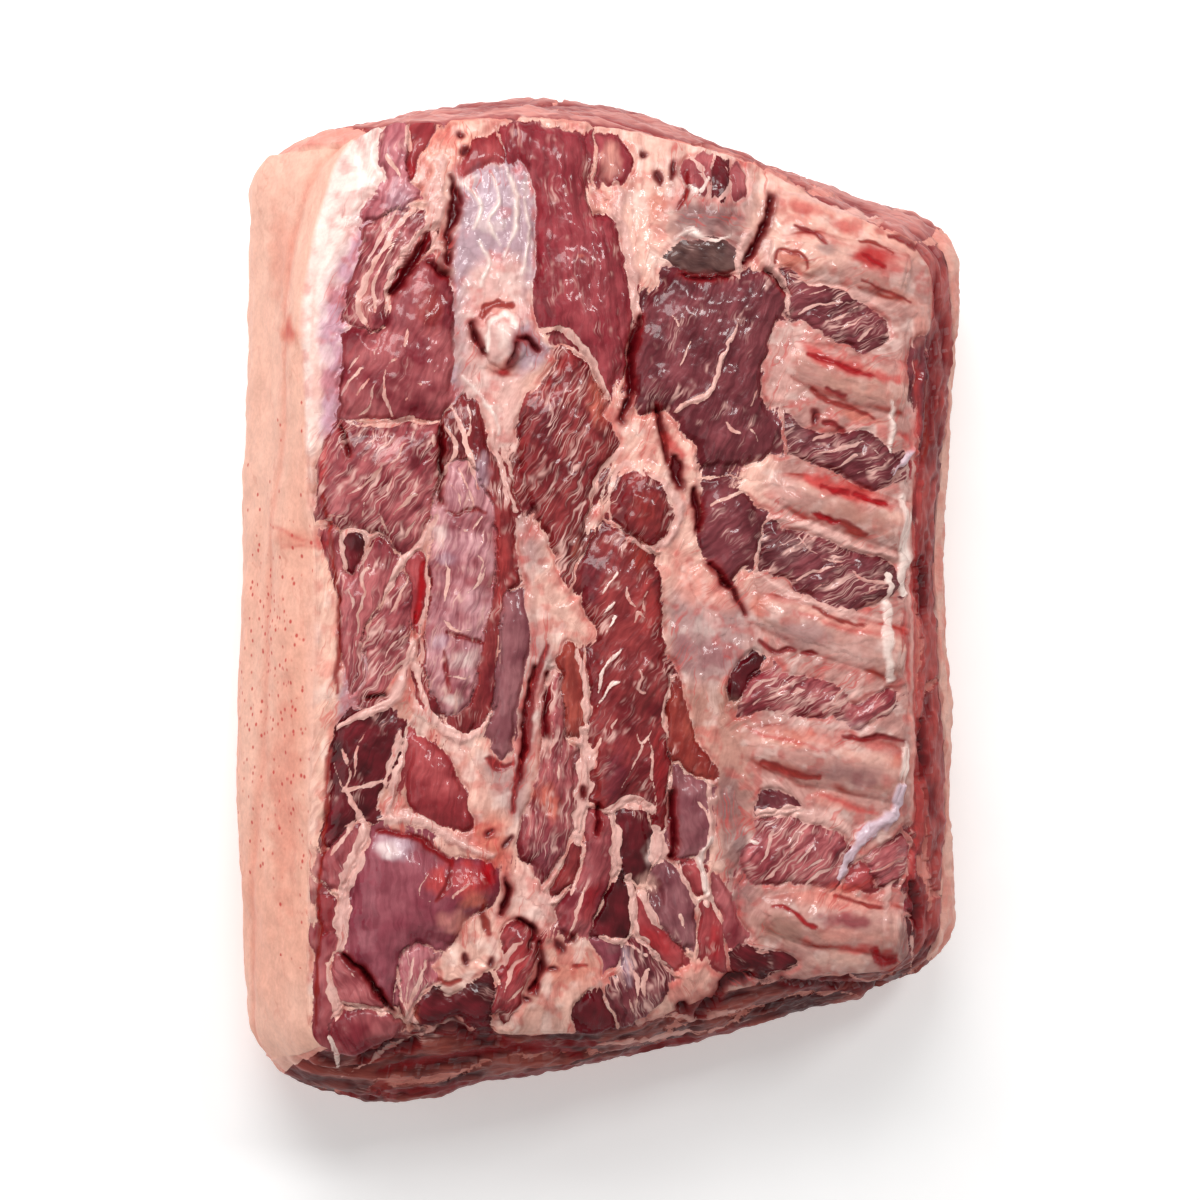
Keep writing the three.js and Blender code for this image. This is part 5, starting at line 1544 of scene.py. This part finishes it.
def add_piece(name, points, quads, normals, values, middle, materials):
    """A mesh object from painted quads, with one material for the face and one for steep walls."""
    points, quads, fan, normals, values = closed(points, quads, normals, values, middle)
    mesh = bare_mesh(name, points, quads, fan, normals)
    set_attributes(mesh, values)
    for finish in materials:
        mesh.materials.append(finish)
    steep = np.zeros(len(quads) + len(fan), np.int32)
    steep[:len(quads)] = abs(normals[quads][:, :, 2].mean(1)) < STEEP
    mesh.polygons.foreach_set("material_index", steep)
    piece = bpy.data.objects.new(name, mesh)
    bpy.context.scene.collection.objects.link(piece)
    return piece


def spaced(length, step):
    return np.linspace(0, 1, max(3, round(length / (step * COARSE)) + 1))


def lean_edge_u(v):
    """Where the lean starts on the face, as u."""
    y = outline_point(RIM, np.full_like(v, -0.9), v)[1]
    edge = np.interp(y, *zip(*LEAN_EDGE))
    left, right = along(RIM["left"], (v + 1) / 2), along(RIM["right"], (v + 1) / 2)
    return 2 * np.maximum(edge - left, 2.5) / (right - left) - 1


def lip_share(v):
    """How high the fat reaches on the right side."""
    return LIP + LIP_WAVE * noise(np.stack([v * HALF_LENGTH, 0 * v], -1), 30, 91, 2)


def lean_pieces(materials):
    """The lean: one surface over the face, the ends and the right side, parted into strips."""
    rows = 1 - (1 - np.linspace(0, 1, round(WALL_ROWS / COARSE))) ** ROW_CURVE
    across, lengthwise = (spaced(size, FACE_STEP) for size in FACE_SIZE)
    places, quads = box_surface(across, lengthwise, rows, [(2, -1), (1, 0), (1, -1), (0, -1)])
    s, v, rise = places[:, 0], 2 * places[:, 1] - 1, places[:, 2]
    share = mix(SLAB / PLAN_LEVEL, 1, rise)
    left = lean_edge_u(v) + INNER_SLOPE * (1 - rise) ** 2
    right = mix(LIP_INNER, 1, ease((share - lip_share(v)) / LIP_SOFT))
    u = mix(left, right, s)
    points, normals = block_point(u, v, share), block_normal(u, v, share)
    paint = finished_paint(points, share, normals)
    points = points + normals * paint.height[:, None]
    normals = smooth_normals(points, quads)
    pieces = []
    for number, (low, high) in enumerate(zip(LEAN_CUTS, LEAN_CUTS[1:]), 1):
        middle_s = s[quads].mean(1)
        used, ours = np.unique(quads[(middle_s >= low) & (middle_s < high)], return_inverse=True)
        middle = points[used].mean(0) * (1, 0, 0) + (0, 0, CORE_HEIGHT)
        pieces.append(add_piece(f"lean_{number}", points[used], ours.reshape(-1, 4), normals[used],
                                paint.picked(used), middle, materials))
    return pieces


def fat_columns():
    """Places along the fat's section: down the left side, under the loin and up the right side."""
    left, under, right = FAT_COLUMNS
    return np.concatenate([
        np.linspace(0, LEFT_END, round(left / COARSE), endpoint=False),
        np.linspace(LEFT_END, SLAB_END, under, endpoint=False),
        np.linspace(SLAB_END, 1, round(right / COARSE)),
    ])


def fat_place(k, v, w):
    """u and share at k along the fat's section, v along the loin and w from the rind inwards."""
    on_left, on_right = k <= LEFT_END, k >= SLAB_END
    down = np.clip(k / LEFT_END, 0, 1)
    over = np.clip((k - LEFT_END) / (SLAB_END - LEFT_END), 0, 1)
    up = np.clip((k - SLAB_END) / (1 - SLAB_END), 0, 1)
    lip, floor = lip_share(v), SLAB / PLAN_LEVEL
    u_out = np.where(on_left, -1, np.where(on_right, 1, 2 * over - 1))
    share_out = np.where(on_left, 1 - down, np.where(on_right, lip * up, 0))
    u_left = lean_edge_u(v) + INNER_SLOPE * down**2
    u_right = np.where(on_right, mix(SLAB_INNER[1], LIP_INNER, up), mix(*SLAB_INNER, over))
    u_in = np.where(on_left, u_left, u_right)
    share_right = np.where(on_right, mix(floor, lip, up), floor)
    share_in = np.where(on_left, mix(1, floor, down), share_right)
    return mix(u_out, u_in, w), mix(share_out, share_in, w)


def fat_piece(materials):
    """The fat layer: a band up the left side, the slab underneath and a lip up the right side."""
    faces = [(2, 0), (1, 0), (1, -1), (0, 0), (0, -1)]
    lengthwise, inward = spaced(FAT_LENGTH, FAT_STEP), np.linspace(0, 1, FAT_ROWS)
    places, quads = box_surface(fat_columns(), lengthwise, inward, faces)
    k, v, w = places[:, 0], 2 * places[:, 1] - 1, places[:, 2]
    u, share = fat_place(k, v, w)
    points, normals = block_point(u, v, share), block_normal(u, v, share)
    rind = (w == 0) * np.where(k < SLAB_END, ease(k / 0.006), ease((0.5 - share) / 0.06))
    end = (abs(v) >= 1) * (w > 0) * (k > 0) * 1.0
    lip_face = (w == 0) * (k >= SLAB_END) * (share > 0.4) * 1.0
    layers = [(fat_end_paint(points), np.maximum(end, lip_face)), (rind_paint(points), rind)]
    paint = finished_paint(points, share, normals, layers)
    paint.lean = np.minimum(paint.lean, np.where(k > 0, -4.0, paint.lean))
    points = points + normals * paint.height[:, None]
    return add_piece("fat_layer", points, quads, smooth_normals(points, quads),
                     paint.picked(slice(None)), (0, 0, CORE_HEIGHT), materials)


def rib_piece(number, rib, materials):
    """A rib: it shows as a flat band that lies in the face, just proud of what covers it."""
    start, (dx, dy), run = rib_frame(rib)
    places, quads = box_surface(spaced(rib["wide"], RIB_STEP), spaced(run, RIB_STEP), [0, 1], [(2, -1)])
    side, t = 2 * places[:, 0] - 1, places[:, 1]
    half_wide = rib["wide"] / 2 * rib_girth(t)
    x = start[0] + dx * run * t + dy * side * half_wide
    y = start[1] + dy * run * t - dx * side * half_wide
    points = np.stack([x, y, ground_height(x, y)], -1)
    share = np.ones(len(points))
    upright = np.tile((0.0, 0.0, 1.0), (len(points), 1))
    paint = finished_paint(points, share, upright)
    edge = np.maximum(abs(side) ** 3, np.maximum(ease(1 - t / 0.08), ease(1 - (1 - t) / 0.05)))
    points[:, 2] += paint.height + mix(RIB_STANDS, RIB_SINKS, edge)
    middle = points.mean(0) - (0, 0, RIB_HEIGHT)
    return add_piece(f"rib_bar_{number}", points, quads, smooth_normals(points, quads),
                     paint.picked(slice(None)), middle, materials)


def bone_piece(bone, materials):
    """A lumpy bit of bone set in the face."""
    x0, y0 = from_plan(*bone["at"])
    z0 = ground_height(x0, y0) + bone["proud"] - bone["radii"][2]
    every_face = [(axis, end) for axis in range(3) for end in (0, -1)]
    places, quads = box_surface(*[np.linspace(0, 1, BONE_ROWS)] * 3, every_face)
    ball = unit(np.tan((places * 2 - 1) * math.pi / 4))
    lump = 1 + bone["lumps"] * np.sin(5 * ball[:, 0] + 1) * np.cos(6 * ball[:, 1])
    points = ball * np.array(bone["radii"]) * lump[:, None] + (x0, y0, z0)
    share = np.ones(len(points))
    paint = finished_paint(points, share, np.tile((0.0, 0.0, 1.0), (len(points), 1)))
    bumps = 0.35 * (paint.height - bone_rise(points[:, 0], points[:, 1])) + 0.4 * noise(points, 2.5, 41, 2)
    points = points + ball * bumps[:, None]
    return add_piece(bone["name"] + "_lump", points, quads, smooth_normals(points, quads),
                     paint.picked(slice(None)), (0, 0, 0), materials)


# ---------- studio ----------

def floor_piece():
    mesh = bpy.data.meshes.new("floor")
    corners = [(x * FLOOR_REACH, y * FLOOR_REACH) for x, y in ((-1, -1), (1, -1), (1, 1), (-1, 1))]
    mesh.from_pydata([(x, y, -FLOOR_DEPTH) for x, y in corners], [], [(0, 1, 2, 3)])
    piece = bpy.data.objects.new("floor", mesh)
    bpy.context.scene.collection.objects.link(piece)
    s = Shader("floor_paper")
    place = s.add("TexCoord").outputs["Object"]
    tone = s.ramp(s.noise(place, 60.0, 3.0), 0.3, 0.7, 0.98, 0.995)
    colour = s.add("CombineColor", {0: tone, 1: tone, 2: tone}).outputs[0]
    s.feed(s.surface, {
        "Base Color": colour,
        "Roughness": 0.7,
        "Emission Color": (1.0, 1.0, 1.0, 1.0),
        "Emission Strength": FLOOR_GLOW,
    })
    mesh.materials.append(s.material)


def area_light(name, place, target, size, power):
    light = bpy.data.lights.new(name, "AREA")
    light.shape = "RECTANGLE"
    light.size, light.size_y = size[0] * MM, size[1] * MM
    light.energy = power
    piece = bpy.data.objects.new(name, light)
    bpy.context.scene.collection.objects.link(piece)
    away = unit(np.array(place, float) - np.array(target, float))
    side = unit(np.cross((0, 1, 0), away))
    up = np.cross(away, side)
    rows = [(*row, place[i] * MM) for i, row in enumerate(zip(side, up, away))]
    piece.matrix_world = Matrix(rows + [(0, 0, 0, 1)])


def set_world():
    world = bpy.data.worlds.new("studio")
    bpy.context.scene.world = world
    world.use_nodes = True
    background = world.node_tree.nodes["Background"]
    background.inputs["Color"].default_value = WORLD_COLOUR
    background.inputs["Strength"].default_value = WORLD_STRENGTH


def set_camera():
    """The camera looks down at the loin, from above and a little to its left."""
    camera = bpy.data.cameras.new("camera")
    camera.sensor_width = SENSOR_WIDTH
    camera.lens = SENSOR_WIDTH * CAMERA_DISTANCE / FRAME_WIDTH
    camera.clip_end = 20
    piece = bpy.data.objects.new("camera", camera)
    bpy.context.scene.collection.objects.link(piece)
    lean_sin, lean_cos = math.sin(CAMERA_LEAN), math.cos(CAMERA_LEAN)
    x, y, z = CAMERA_TARGET
    place = [x - CAMERA_DISTANCE * lean_sin, y, z + CAMERA_DISTANCE * lean_cos]
    columns = [(lean_cos, 0, lean_sin), (0, 1, 0), (-lean_sin, 0, lean_cos)]
    rows = [(*(column[i] for column in columns), place[i] * MM) for i in range(3)]
    piece.matrix_world = Matrix(rows + [(0, 0, 0, 1)])
    bpy.context.scene.camera = piece


def studio():
    set_world()
    for light in LIGHTS:
        area_light(*light)
    set_camera()
    bpy.context.scene.view_settings.view_transform = "Standard"


# ---------- the loin ----------

def place_piece(piece, node):
    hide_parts(node)
    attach(piece, "root")


studio()
floor_piece()
flesh = [flesh_material(*finish) for finish in FINISHES]
for strip in lean_pieces(flesh):
    place_piece(strip, "loin_meat")
place_piece(fat_piece(flesh), "fat_and_rind")
for rib_number, one_rib in enumerate(RIBS, 1):
    place_piece(rib_piece(rib_number, one_rib, flesh), f"rib_{rib_number}")
for one_bone in BONES:
    place_piece(bone_piece(one_bone, flesh), one_bone["name"])
